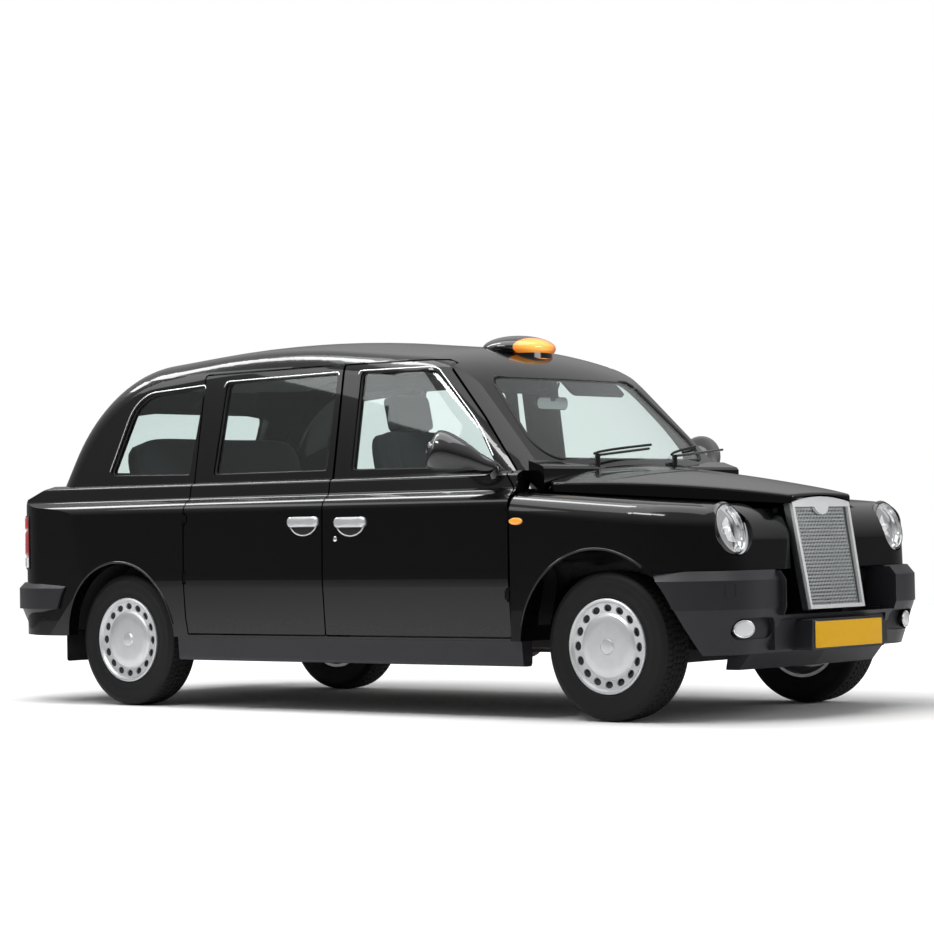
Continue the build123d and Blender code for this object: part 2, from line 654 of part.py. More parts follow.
def grille_outline():
    """The grille's front plane, its outer outline, and the opening under the header and its shield."""
    (fx, fz, fy), (hx, hz, hy) = GRILLE_FOOT, GRILLE_HEAD
    front = Plane(origin=(fx, 0, fz), x_dir=(0, 1, 0), z_dir=(hz - fz, 0, fx - hx))
    tall = ((hx - fx) ** 2 + (hz - fz) ** 2) ** 0.5
    shoulder = tall - 24
    head = ThreePointArc((hy, shoulder), (0, tall), (-hy, shoulder))
    rest = Polyline((-hy, shoulder), (-fy, 0), (fy, 0), (hy, shoulder))
    outside = make_face([head, *rest.edges()])
    eaves = tall - HEADER
    half, drop = SHIELD
    drip = ThreePointArc((half, eaves), (0, eaves - drop), (-half, eaves))
    in_foot, in_head = fy - GRILLE_BAR, hy - GRILLE_BAR - 1
    frame = Polyline((-half, eaves), (-in_head, eaves), (-in_foot, GRILLE_BAR), (in_foot, GRILLE_BAR), (in_head, eaves), (half, eaves))
    inside = make_face([drip, *frame.edges()])
    return front, outside, inside


def grille():
    """Tall bright surround with an arched header, holding a slotted mesh."""
    front, outside, inside = grille_outline()
    frame = extrude(front * outside, amount=-GRILLE_DEPTH)
    frame = frame - extrude(front.offset(1) * inside, amount=-GRILLE_DEPTH - 5)
    mesh = extrude(front.offset(-18) * inside, amount=-8)
    rows, lowest, pitch = 27, 26, 15.4
    slots = []
    for row in range(rows):
        slots.append(extrude(front.offset(-10) * (Pos(0, lowest + row * pitch) * Rectangle(384, pitch * 0.46)), amount=-30))
    keep("grille", frame + (mesh - slots))


def lamps():
    """Headlamps and fog lamps, tail lamps and the sign on the roof."""
    found = []
    for side in (RIGHT, LEFT):
        seat = lamp_seat(side)
        rim = Ellipse(HEADLAMP_HALF_HEIGHT + BEZEL, HEADLAMP_HALF_WIDTH + BEZEL)
        crest = Ellipse(HEADLAMP_HALF_HEIGHT + 4, HEADLAMP_HALF_WIDTH + 4)
        body = extrude(seat.offset(-LAMP_DEPTH) * rim, amount=LAMP_DEPTH + 24)
        ends = [(seat.offset(24) * rim).wires()[0], (seat.offset(34) * crest).wires()[0]]
        body = body + Solid.make_loft(ends, True)
        lens = Ellipse(HEADLAMP_HALF_HEIGHT, HEADLAMP_HALF_WIDTH)
        found.append(body - extrude(seat * lens, amount=60))
        lens = along_x(Pos(side * FOG_LAMP[0], FOG_LAMP[1]) * Ellipse(56, 38), 2050, BEYOND_X)
        ahead = plan_band(FRONT_BUMPER_PLAN, FOG_WALL - 16, 300, 480, 1)
        found.append((lens & ahead) - plan_band(FRONT_BUMPER_PLAN, FOG_WALL - SEAL_GAP, 290, 490, 1))
    keep("front_lamps", *found)
    tails = []
    for side in (RIGHT, LEFT):
        cut = block(-2300, -2000, side * 700 - 55, side * 700 + 55, 660, 900)
        skin = lower_body(-8) - lower_body(-SEAL_GAP)
        tails.append(skin & cut)
    keep("tail_lamps", *tails)
    base = along_z(Pos(SIGN_X + 20, 0) * Ellipse(120, 165), 1540, 1655) - greenhouse(0)
    pod = Pos(SIGN_X, 0, 1668) * scale(Sphere(100), by=(1.5, 2.0, 0.62))
    keep("roof_sign", (base + pod) - greenhouse(-SEAL_GAP), smallest=5000)


SIGN_X = 472


# (radius, distance along the axis) of a mirror's teardrop housing
MIRROR_OUTLINE = ((0, 0), (24, 0), (44, 70), (68, 140), (86, 205), (92, 250), (78, 292), (26, 312), (0, 312))


def mirrors_and_wipers():
    """Door mirrors on their arms, and the two wipers."""
    for side, word in ((RIGHT, "right"), (LEFT, "left")):
        axis = Vector(-200, side * 185, 92)
        egg = Plane(origin=(985, side * 812, 1088), x_dir=(0, 0, 1), z_dir=axis)
        outline = Spline(*MIRROR_OUTLINE[1:-1], tangents=[(0.6, 1), (-0.5, 1)])
        first, last = MIRROR_OUTLINE[0], MIRROR_OUTLINE[-1]
        closing = Polyline(MIRROR_OUTLINE[-2], last, first, MIRROR_OUTLINE[1])
        body = revolve(Plane.XZ * make_face([outline, *closing.edges()]), Axis.Z, 360)
        body = egg.location * body
        foot = rod((988, side * 806, 1050), (980, side * 818, 1096), 26)
        glass_cut = block(600, 742, -1200, 1200, 1000, 1400)
        keep(word + "_mirror", (body + foot) - glass_cut - outer)
    arms = []
    for y in (-330, 250):
        arms.append(rod((1178, y, 1080), (1178, y, 1152), 12) + rod((1178, y, 1146), (1150, y + 420, 1180), 6))
    ground = greenhouse(-SEAL_GAP) + Pos(0, 0, SEAL_GAP) * along_y(corners(SCUTTLE_LINE), -735, 735)
    keep("wipers", *[arm - ground for arm in arms])


# ---- inside ---------------------------------------------------------------------------
REAR_FLOOR_TOP = 492
FLOOR_PLATE = 20
KICK_UP_X = -800
HOUSING_INNER_REAR = 618


def platform():
    """Floor with its kick-up, toe board, and the housings over the rear wheels."""
    thick = FLOOR_PLATE
    low, high = FLOOR_TOP, REAR_FLOOR_TOP
    line = [
        (1112, low - thick),
        (1112, WING_TOP),
        (1098, WING_TOP),
        (1098, low),
        (KICK_UP_X, low),
        (KICK_UP_X - 50, high),
        (-2140, high),
        (-2140, high - thick),
        (KICK_UP_X - 50 - thick, high - thick),
        (KICK_UP_X - thick, low - thick),
    ]
    floor = along_y(corners(line), -830, 830)
    housing_radius = REAR_ARCH_RADIUS + 14
    for side in (RIGHT, LEFT):
        y_low, y_high = sorted((side * HOUSING_INNER_REAR, side * 830))
        dome = drum(REAR_AXLE, AXLE_Z, housing_radius + 10, y_low, y_high)
        floor = floor + (dome & block(-2100, 0, -900, 900, low - 20, 800))
        y_low, y_high = sorted((side * (HOUSING_INNER_REAR + 10), side * 900))
        floor = floor - drum(REAR_AXLE, AXLE_Z, housing_radius, y_low, y_high)
    for side in (RIGHT, LEFT):
        y_low, y_high = sorted((side * 774, side * 900))
        floor = floor - block(-56, 84, y_low, y_high, 300, 500)
        for rows in (FRONT_DOOR, REAR_DOOR):
            floor = floor - (side_cut(rows, -SHUT_GAP, side) - door_backs)
        floor = floor - block(1090, 1120, y_low, y_high, 940, 1000)
    keep("floor_pan", floor & lower_body(DOOR_THICKNESS + SEAL_GAP), smallest=20000)
    sill = along_x(corners([(806, SILL_BOTTOM), (866, SILL_BOTTOM), (874, SILL_TOP), (800, SILL_TOP)]), -948, 1168)
    sill = fillet(sill.edges().filter_by(Axis.X).sort_by(Axis.Z)[:2], 16)
    sills = []
    for shape in (sill, other_side(sill)):
        shape = shape - drum(FRONT_AXLE, AXLE_Z, FRONT_ARCH_RADIUS + 6, -1000, 1000)
        sills.append(shape - drum(REAR_AXLE, AXLE_Z, REAR_ARCH_RADIUS + 6, -1000, 1000))
    keep("sills", *sills)


def rounded_block(x_low, x_high, y_low, y_high, z_low, z_high, radius):
    form = block(x_low, x_high, y_low, y_high, z_low, z_high)
    return fillet(form.edges(), radius)


SEAT_Y = -370


def seats():
    """Driver's seat, rear bench, folding seats on the partition."""
    floor = FLOOR_TOP
    cushion = rounded_block(180, 690, SEAT_Y - 250, SEAT_Y + 250, floor + 190, floor + 330, 50)
    base = block(230, 640, SEAT_Y - 200, SEAT_Y + 200, floor, floor + 190)
    back = Pos(165, SEAT_Y, floor + 590) * Rot(0, -12, 0) * rounded_block(-55, 55, -250, 250, -320, 320, 45)
    head = Pos(100, SEAT_Y, floor + 985) * Rot(0, -12, 0) * rounded_block(-40, 40, -130, 130, -85, 85, 34)
    posts = rod((125, SEAT_Y - 60, floor + 850), (105, SEAT_Y - 60, floor + 960), 7)
    posts = posts + rod((125, SEAT_Y + 60, floor + 850), (105, SEAT_Y + 60, floor + 960), 7)
    keep("driver_seat", cushion + base + back + head + posts)
    wide = 585
    bench = rounded_block(-1440, -905, -wide, wide, REAR_FLOOR_TOP, REAR_FLOOR_TOP + 250, 60)
    rest = Pos(-1500, 0, REAR_FLOOR_TOP + 500) * Rot(0, -14, 0) * rounded_block(-75, 75, -wide, wide, -330, 330, 60)
    keep("rear_seat", bench + rest)
    flips = []
    for y in (-300, 300):
        flips.append(rounded_block(-155, -95 - SEAL_GAP, y - 200, y + 200, floor + 200, floor + 620, 28))
    keep("tip_seats", *flips)


COLUMN = Plane(origin=(690, SEAT_Y, 1010), z_dir=(-0.87, 0, 0.49))


def cabin_fittings():
    """Partition behind the driver, dashboard and steering wheel."""
    wall = block(-95, -65, -722, 722, FLOOR_TOP, 1080)
    upper = along_x(corners([(-700, 1079), (700, 1079), (640, 1560), (-640, 1560)]), -88, -72)
    window = along_x(corners([(-620, 1110), (620, 1110), (570, 1510), (-570, 1510)], 40), -90, -70)
    keep("partition", wall + (upper - window))
    profile = [(1097.7, 700), (1097.7, 1066), (1040, 1072), (850, 1040), (800, 960), (830, 760), (900, 700)]
    dash = along_y(corners(profile, [0, 10, 60, 60, 60, 60, 30]), -700, 700) & (
        lower_body(DOOR_THICKNESS + 14) + greenhouse(FRAME_THICKNESS + 14)
    )
    column_hole = extrude(COLUMN.offset(-400) * Circle(20 + SEAL_GAP), amount=400)
    keep("dashboard", dash - column_hole, smallest=20000)
    rim = COLUMN * Torus(190, 15)
    hub = extrude(COLUMN.offset(-26) * Circle(48), amount=32)
    spokes = extrude(COLUMN.offset(-12) * Rectangle(30, 366), amount=14)
    shaft = extrude(COLUMN.offset(-200) * Circle(20), amount=190)
    keep("steering_wheel", rim + hub + spokes + shaft)


# ---- running gear ----------------------------------------------------------------------
RAIL_Y = 350
FRAME_TOP = 362
# (x, lowest z, highest z) of the bars between the rails
CROSSMEMBERS = (
    (1900, 295, 355),
    (1000, 338, 362),
    (250, 338, 362),
    (-500, 342, 362),
    (-2060, 400, 460),
)
# M12 clearance holes for a tow bar, through the rear crossmember
TOW_BAR_X = CROSSMEMBERS[-1][0]
TOW_HOLE_Y = 200
TOW_HOLE_RADIUS = 6.75


def chassis():
    """Ladder frame under the floor, with the front crossmember and the engine."""
    rails = []
    for side in (RIGHT, LEFT):
        line = [
            (-2120, 395),
            (KICK_UP_X - 100, 395),
            (KICK_UP_X - 46, 290),
            (1960, 290),
            (1960, FRAME_TOP),
            (KICK_UP_X - 46, FRAME_TOP),
            (KICK_UP_X - 100, 468),
            (-2120, 468),
        ]
        y_low, y_high = sorted((side * (RAIL_Y - 30), side * (RAIL_Y + 30)))
        rails.append(along_y(corners(line), y_low, y_high))
    frame = rails[0] + rails[1]
    for x, z_low, z_high in CROSSMEMBERS:
        frame = frame + block(x - 35, x + 35, -RAIL_Y, RAIL_Y, z_low, z_high)
    frame = frame + block(FRONT_AXLE - 60, FRONT_AXLE + 60, -RAIL_Y, RAIL_Y, 230, 291)
    for y in (-TOW_HOLE_Y, TOW_HOLE_Y):
        frame = frame - drum_z(TOW_BAR_X, y, TOW_HOLE_RADIUS, 390, 470)
    keep("chassis_frame", frame)
    keep("engine", block(1220, 1850, -250, 250, 291, 890))


UPRIGHT_LOW = 215
UPRIGHT_HIGH = 450
BALL = 16
SPRING_HALF = 470
STUB_RADIUS = 26
# (height of the inner bushes, height of the ball joint, radius of the bars)
WISHBONES = (
    (305, UPRIGHT_LOW - BALL - SEAL_GAP, 14),
    (347, UPRIGHT_HIGH + BALL + SEAL_GAP, 11),
)


def suspension():
    """Front wishbones with their coil springs, steering knuckles, rear axle on leaf springs."""
    arms = []
    king_y = FRONT_HALF_TRACK - KINGPIN_INBOARD
    for side in (RIGHT, LEFT):
        rail_y = side * (RAIL_Y + 30)
        bush_y = side * (RAIL_Y + 48)
        for bush_z, tip_z, radius in WISHBONES:
            tip = (FRONT_AXLE, side * king_y, tip_z)
            arm = drum_z(tip[0], tip[1], BALL, tip_z - BALL, tip_z + BALL)
            for x in (FRONT_AXLE - 120, FRONT_AXLE + 120):
                arm = arm + rod((x, bush_y, bush_z), tip, radius)
                y_low, y_high = sorted((rail_y, side * (RAIL_Y + 56)))
                arm = arm + block(x - 18, x + 18, y_low, y_high, bush_z - 13, bush_z + 13)
            room = block(FRONT_AXLE - 60, FRONT_AXLE + 60, tip[1] - 50, tip[1] + 50, UPRIGHT_LOW - SEAL_GAP, UPRIGHT_HIGH + SEAL_GAP)
            arms.append(arm - room)
    keep("front_suspension", *arms)
    for side, word in ((RIGHT, "right"), (LEFT, "left")):
        y = side * king_y
        upright = block(FRONT_AXLE - 24, FRONT_AXLE + 24, y - 12, y + 12, UPRIGHT_LOW, UPRIGHT_HIGH)
        stub = rod((FRONT_AXLE, y, AXLE_Z), (FRONT_AXLE, side * (FRONT_HALF_TRACK + 20), AXLE_Z), STUB_RADIUS)
        keep(word + "_knuckle", upright + stub)
    hub = REAR_HALF_TRACK + 20
    tube = rod((REAR_AXLE, 40 - REAR_HALF_TRACK, AXLE_Z), (REAR_AXLE, REAR_HALF_TRACK - 40, AXLE_Z), 34)
    tube = tube + rod((REAR_AXLE, -hub, AXLE_Z), (REAR_AXLE, hub, AXLE_Z), STUB_RADIUS)
    diff = Pos(REAR_AXLE, 0, AXLE_Z) * Sphere(125)
    shaft = rod((REAR_AXLE, 0, AXLE_Z), (1219, 0, 300), 26)
    axle = tube + diff + shaft
    for y in (-500, 500):
        front, rear = REAR_AXLE + SPRING_HALF, REAR_AXLE - SPRING_HALF
        lower = ThreePointArc((rear, 396), (REAR_AXLE, 350), (front, 396))
        upper = ThreePointArc((front, 420), (REAR_AXLE, 374), (rear, 420))
        leaf = make_face([lower, Line((front, 396), (front, 420)), upper, Line((rear, 420), (rear, 396))])
        axle = axle + along_y(leaf, y - 30, y + 30)
        for x in (front - 16, rear + 16):
            axle = axle + block(x - 15, x + 15, y - 30, y + 30, 400, REAR_FLOOR_TOP - FLOOR_PLATE)
    keep("rear_axle", axle)


def exhaust_and_tank():
    """Exhaust pipe with its silencer, and the fuel tank beside it."""
    can = Plane.YZ.offset(-180) * (Pos(190, 262) * Ellipse(105, 50))
    line = rod((1050, 190, 262), (-180, 190, 262), 24) + extrude(can, amount=520)
    for x, z_low in ((250, 300), (1000, 262)):
        line = line + block(x - 12, x + 12, 182, 198, z_low, 338)
    keep("exhaust", line)
    tank = rounded_block(-1990, -1540, -300, 300, 250, 380, 40)
    for y in (-220, 220):
        tank = tank + block(-1800, -1740, y - 20, y + 20, 370, REAR_FLOOR_TOP - FLOOR_PLATE)
    keep("fuel_tank", tank)


def wheels():
    """Tyres and steel wheels with their trims."""
    half = TYRE_WIDTH / 2
    section = [
        (RIM_RADIUS + 1, half - 16, 0),
        (RIM_RADIUS + 30, half - 2, 30),
        (TYRE_RADIUS - 46, half, 40),
        (TYRE_RADIUS - 3, half - 16, 22),
        (TYRE_RADIUS, 30, 90),
    ]
    points = [(r, y) for r, y, f in section] + [(r, -y) for r, y, f in section][::-1]
    radii = [f for r, y, f in section] + [f for r, y, f in section][::-1]
    ring = corners(points, radii)
    tyre = revolve(Plane.XY * ring, Axis.Y, 360)
    rim_line = [
        (0, half - 12),
        (0, 40),
        (STUB_RADIUS + SEAL_GAP, 40),
        (STUB_RADIUS + SEAL_GAP, 8),
        (158, 12),
        (RIM_RADIUS - 14, -10),
        (RIM_RADIUS - 14, -half + 12),
        (RIM_RADIUS, -half + 12),
        (RIM_RADIUS, half - 8),
        (RIM_RADIUS - 8, half - 4),
        (RIM_RADIUS - 22, half - 18),
        (150, half - 34),
        (128, half - 14),
        (60, half - 10),
        (56, half - 12),
    ]
    rim = revolve(Plane.XY * corners(rim_line), Axis.Y, 360)
    places = (
        ("right_front", FRONT_AXLE, RIGHT * FRONT_HALF_TRACK, RIGHT),
        ("left_front", FRONT_AXLE, LEFT * FRONT_HALF_TRACK, LEFT),
        ("right_rear", REAR_AXLE, RIGHT * REAR_HALF_TRACK, RIGHT),
        ("left_rear", REAR_AXLE, LEFT * REAR_HALF_TRACK, LEFT),
    )
    for word, x, y, side in places:
        turn = Rot(0, 0, 180) if side == RIGHT else Rot(0, 0, 0)
        keep(word + "_tyre", Pos(x, y, AXLE_Z) * (turn * tyre))
        keep(word + "_wheel", Pos(x, y, AXLE_Z) * (turn * rim))


for make in (
    doors,
    body_sides,
    roof,
    tail,
    front_panels,
    bumpers,
    grille,
    lamps,
    mirrors_and_wipers,
    platform,
    seats,
    cabin_fittings,
    chassis,
    suspension,
    exhaust_and_tank,
    wheels,
):
    make()

for name, shape in parts.items():
    shape = Pos(CENTRING, 0, 0) * shape
    shape.label = name
    export_step(shape, os.path.join("parts", name + ".step"))
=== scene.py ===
# %% [markdown]
# # A black cab around its CAD frame
# This lesson dresses a finished CAD model of a taxi in Blender. The panels, glass and running gear come
# in as a fixed frame. What the CAD leaves out is made here: lacquer, chrome, rubber, lenses, tyre treads,
# wheel trims, window strips and stitched seats. Lengths are in metres, X points forwards, Y to the left.

import math

import bmesh
import bpy
from mathutils import Matrix, Vector
from mathutils.bvhtree import BVHTree


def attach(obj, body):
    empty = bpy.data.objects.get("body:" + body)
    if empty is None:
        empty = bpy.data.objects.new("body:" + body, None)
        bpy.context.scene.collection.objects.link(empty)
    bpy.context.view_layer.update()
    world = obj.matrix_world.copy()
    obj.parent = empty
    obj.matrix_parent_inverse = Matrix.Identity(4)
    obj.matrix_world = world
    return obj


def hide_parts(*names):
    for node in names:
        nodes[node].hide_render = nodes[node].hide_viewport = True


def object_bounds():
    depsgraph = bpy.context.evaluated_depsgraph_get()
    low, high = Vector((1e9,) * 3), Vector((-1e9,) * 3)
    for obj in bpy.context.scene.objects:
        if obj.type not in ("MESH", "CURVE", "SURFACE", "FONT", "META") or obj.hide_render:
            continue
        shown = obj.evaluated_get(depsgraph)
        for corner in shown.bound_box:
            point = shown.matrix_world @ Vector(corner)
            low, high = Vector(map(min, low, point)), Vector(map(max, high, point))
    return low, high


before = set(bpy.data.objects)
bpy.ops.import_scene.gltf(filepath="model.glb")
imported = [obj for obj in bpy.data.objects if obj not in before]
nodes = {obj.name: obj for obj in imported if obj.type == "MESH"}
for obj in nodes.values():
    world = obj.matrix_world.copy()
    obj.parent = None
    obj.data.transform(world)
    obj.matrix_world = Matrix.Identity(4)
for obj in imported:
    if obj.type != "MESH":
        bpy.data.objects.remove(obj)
cad_box = [list(corner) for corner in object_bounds()]
SIDES = {"right": -1, "left": 1}

# %% [markdown]
# ## The camera
# A long lens, far away and low, sees the cab from its front right quarter. A camera looks down its own
# -Z axis, so its matrix is built from three directions: right, up and back. A small roll finishes it.

# %% Camera
CAMERA_PLACE = Vector((9.079, -10.545, 0.818))
YAW, PITCH, ROLL = math.radians(40.204), math.radians(-1.269), math.radians(-1.054)
FOCAL_PIXELS, FRAME_PIXELS, SENSOR = 2898.1, 934, 36.0

back = Vector((math.sin(YAW) * math.cos(PITCH), -math.cos(YAW) * math.cos(PITCH), math.sin(PITCH)))
right = (-back).cross(Vector((0, 0, 1))).normalized()
up = right.cross(-back)
rolled_right = math.cos(ROLL) * right + math.sin(ROLL) * up
rolled_up = math.cos(ROLL) * up - math.sin(ROLL) * right
turn = Matrix((rolled_right, rolled_up, back)).transposed().to_4x4()

camera_data = bpy.data.cameras.new("camera")
camera_data.sensor_width = SENSOR
camera_data.lens = FOCAL_PIXELS / FRAME_PIXELS * SENSOR
camera = bpy.data.objects.new("camera", camera_data)
camera.matrix_world = Matrix.Translation(CAMERA_PLACE) @ turn
bpy.context.scene.collection.objects.link(camera)
bpy.context.scene.camera = camera
bpy.context.scene.view_settings.view_transform = "Standard"
print("lens", round(camera_data.lens, 1), "mm")

# %% [markdown]
# ## Shader maths
# Procedural materials are small sums over the surface. A thin class wraps a socket, so that
# `1 - mask * 0.3` adds the Math nodes itself. One method, `add`, makes every other node: settings first,
# because they change which sockets a node shows, then the values or links of its inputs.


# %% Sockets that add up
class Socket:
    """A shader value that Python's operators can work on."""

    def __init__(self, nodes_of, link):
        self.nodes_of, self.link = nodes_of, link

    def math(self, operation, *others, flip=False):
        values = [self, *others]
        if flip:
            values = values[::-1]
        return self.nodes_of.add("ShaderNodeMath", {"operation": operation}, dict(enumerate(values)))

    def __add__(self, other):
        return self.math("ADD", other)

    def __sub__(self, other):
        return self.math("SUBTRACT", other)

    def __rsub__(self, other):
        return self.math("SUBTRACT", other, flip=True)

    def __mul__(self, other):
        return self.math("MULTIPLY", other)

    def __truediv__(self, other):
        return self.math("DIVIDE", other)

    def __rtruediv__(self, other):
        return self.math("DIVIDE", other, flip=True)

    def __pow__(self, other):
        return self.math("POWER", other)

    def __gt__(self, other):
        return self.math("GREATER_THAN", other)

    def __lt__(self, other):
        return self.math("LESS_THAN", other)

    __radd__, __rmul__ = __add__, __mul__

    def sine(self):
        return self.math("SINE")

    def fade(self, low, high):
        """0 at low and 1 at high, held outside them."""
        inputs = {"Value": self, "From Min": low, "From Max": high}
        return self.nodes_of.add("ShaderNodeMapRange", {"clamp": True}, inputs)


print("socket class ready")

# %% [markdown]
# ## Adding nodes
# The world and the materials are both node trees. Links could be made by hand for each of them, but one
# `add` for every kind of node keeps a recipe down to a line, so both share the class below.


# %% One method for every node
class NodeTree:
    """A tree of shader nodes under construction."""

    def __init__(self, tree):
        self.tree = tree

    def add(self, kind, settings=None, inputs=None, output=0):
        node = self.tree.nodes.new(kind)
        for name, value in (settings or {}).items():
            setattr(node, name, value)
        for name, value in (inputs or {}).items():
            self.feed(node.inputs[name], value)
        return Socket(self, node.outputs[output])

    def feed(self, entry, value):
        if isinstance(value, Socket):
            self.tree.links.new(value.link, entry)
        elif isinstance(value, (tuple, list)) and len(value) == 3 and entry.type == "RGBA":
            entry.default_value = (*value, 1)
        else:
            entry.default_value = value

    def place(self):
        return self.add("ShaderNodeTexCoord", output="Object")

    def part(self, vector, axis):
        return self.add("ShaderNodeSeparateXYZ", inputs={0: vector}, output=axis)

    def axes(self):
        """The surface's x, y and z in the cab's frame."""
        place = self.place()
        return [self.part(place, axis) for axis in range(3)]

    def noise(self, scale, detail=3, rough=0.5):
        inputs = {"Vector": self.place(), "Scale": scale, "Detail": detail, "Roughness": rough}
        return self.add("ShaderNodeTexNoise", inputs=inputs, output="Fac")

    def cells(self, scale):
        inputs = {"Vector": self.place(), "Scale": scale}
        return self.add("ShaderNodeTexVoronoi", {"feature": "F1"}, inputs, output="Distance")

    def mix(self, mask, one, two):
        return self.add("ShaderNodeMix", {"data_type": "RGBA"}, {0: mask, 6: one, 7: two}, output=2)


print("node helpers ready")

# %% [markdown]
# ## Finishes
# A finish is a material with Blender's Principled shader. Its steady values are given by name when it is
# made, and what changes over the surface is set later. Relief is a bump from a height.


# %% A finish is a material and its nodes
class Finish(NodeTree):
    """A material under construction, with its Principled shader."""

    def __init__(self, name, **values):
        self.material = bpy.data.materials.new(name)
        self.material.use_nodes = True
        super().__init__(self.material.node_tree)
        self.shader = self.tree.nodes["Principled BSDF"]
        self.output = self.tree.nodes["Material Output"]
        for socket, value in values.items():
            self.set(socket.replace("_", " ").title().replace("Ior", "IOR"), value)

    def set(self, socket, value):
        self.feed(self.shader.inputs[socket], value)

    def bump(self, height, strength, distance):
        inputs = {"Height": height, "Strength": strength, "Distance": distance}
        self.set("Normal", self.add("ShaderNodeBump", inputs=inputs))
        return self


print("finish helpers ready")

# %% [markdown]
# ## Lacquer
# Cab paint is a black base under clear lacquer. The clear layer gives the sharp highlight, so it is the
# Coat, and a weak wave in its surface keeps long reflections from looking like glass. Low on the doors the
# base is painted lighter, a painted reflection of the white floor; it is rougher there, broken up by noise.

# %% Black lacquer
LOW_BAND_FROM, LOW_BAND_TO = 0.22, 0.62


def low_band_mask(finish):
    """1 near the ground, 0 above, with a broken edge."""
    height = finish.axes()[2] + finish.noise(9, 5) * 0.12
    return 1 - height.fade(LOW_BAND_FROM, LOW_BAND_TO)


CLEAR_COAT = {"coat_weight": 0.8, "coat_roughness": 0.02, "coat_ior": 1.42}
lacquer = Finish("black_lacquer", specular_ior_level=0.08, **CLEAR_COAT)
low_band = low_band_mask(lacquer)
# painted reflection of the white floor: the black base is mixed a little lighter low on the doors
lacquer.set("Base Color", lacquer.mix(low_band * 0.25, (0.0012, 0.0012, 0.0015), (0.008, 0.0075, 0.007)))
lacquer.set("Roughness", low_band * 0.15 + 0.2 + lacquer.noise(30) * 0.03)
lacquer.bump(lacquer.noise(14, 2), 0.012, 0.01)
print("lacquer", len(lacquer.tree.nodes), "nodes")

# %% [markdown]
# ## Plastics
# Bumpers and sills are moulded in dark grey plastic with a fine grain. Grain is a tiny Voronoi bump, and
# the satin sheen is only a roughness. Gloss black plastic serves the mirrors, the sign and lamp bezels.


# %% Moulded plastics
def grained(name, dark, light, rough, grain=900, depth=0.25):
    finish = Finish(name, specular_ior_level=0.3)
    broad = finish.noise(5, 4)
    finish.set("Base Color", finish.mix(broad, dark, light))
    finish.set("Roughness", broad * 0.1 + rough)
    return finish.bump(finish.cells(grain), depth, 0.0006)


bumper_plastic = grained("satin_grey_plastic", (0.013, 0.013, 0.016), (0.020, 0.020, 0.024), 0.30)
cabin_plastic = grained("cabin_plastic", (0.020, 0.021, 0.022), (0.032, 0.033, 0.035), 0.55, 500)
seal_rubber = grained("seal_rubber", (0.006, 0.006, 0.006), (0.012, 0.012, 0.012), 0.5, 1200, 0.15)
underseal = grained("underseal", (0.008, 0.008, 0.008), (0.018, 0.017, 0.016), 0.75, 140, 0.6)
chassis_black = grained("chassis_black", (0.008, 0.008, 0.009), (0.02, 0.019, 0.018), 0.5, 300, 0.3)

gloss_plastic = Finish("gloss_black_plastic", roughness=0.12, coat_weight=0.6, coat_roughness=0.03)
cloudy = gloss_plastic.mix(gloss_plastic.noise(20), (0.003, 0.003, 0.0035), (0.006, 0.006, 0.007))
gloss_plastic.set("Base Color", cloudy)
gloss_plastic.bump(gloss_plastic.noise(60, 2), 0.01, 0.004)
print("plastics ready")

# %% [markdown]
# ## Metals
# Chrome is a mirror with faint hand marks. The wheel trims are silver paint: metallic too, but rough
# enough to spread the light. One recipe with a few numbers makes them all.


# %% Metals
def metal(name, color, rough, spread=0.06, scale=40, weight=1.0):
    finish = Finish(name, metallic=weight)
    marks = finish.noise(scale, 5)
    darker = tuple(c * 0.86 for c in color)
    finish.set("Base Color", finish.mix(marks, color, darker))
    finish.set("Roughness", marks * spread + rough)
    return finish.bump(finish.noise(scale * 6, 2), 0.02, 0.001)


chrome = metal("chrome", (0.86, 0.87, 0.88), 0.05, 0.05)
silver = metal("silver_trim", (0.66, 0.67, 0.68), 0.34, 0.08, 25, 0.8)
dull_steel = metal("exhaust_steel", (0.2, 0.18, 0.16), 0.45, 0.2, 18)
casting = metal("engine_casting", (0.16, 0.16, 0.165), 0.6, 0.1, 60, 0.6)
print("metals ready")

# %% [markdown]
# ## The grille's two looks
# A cab's grille is a bright surround over a duller mesh, and here both are one CAD piece. It could be cut
# in two, but the distance behind the leaning front plane already tells them apart.

# %% The grille's finish, by depth
GRILLE_FOOT, GRILLE_HEAD = Vector((2.243, 0, 0.461)), Vector((2.159, 0, 0.940))
grille_up = (GRILLE_HEAD - GRILLE_FOOT).normalized()
grille_out = Vector((0, 1, 0)).cross(grille_up)
MESH_DEPTH = 0.014

grille_finish = Finish("grille_chrome_and_mesh", metallic=1.0)
along, across, tall = grille_finish.axes()
depth = (GRILLE_FOOT.x - along) * grille_out.x + (GRILLE_FOOT.z - tall) * grille_out.z
in_mesh = depth > MESH_DEPTH
marks = grille_finish.noise(90, 4)
grille_finish.set("Base Color", grille_finish.mix(in_mesh, (0.86, 0.87, 0.88), (0.27, 0.30, 0.29)))
grille_finish.set("Metallic", in_mesh * 0.55 + 0.45)
grille_finish.set("Roughness", in_mesh * 0.2 + marks * 0.06 + 0.15)
print("grille leans", round(math.degrees(math.atan2(-grille_up.x, grille_up.z)), 1), "degrees")

# %% [markdown]
# ## Rubber
# A tyre's side carries fine rings from its mould, so the bump follows the distance from the wheel's axle.
# The tread is browned a little by the road. A picture could do this, but sums keep sharp at any size.

# %% Tyre rubber
AXLES = {"front": 1.609, "rear": -1.321}
AXLE_HEIGHT = 0.320


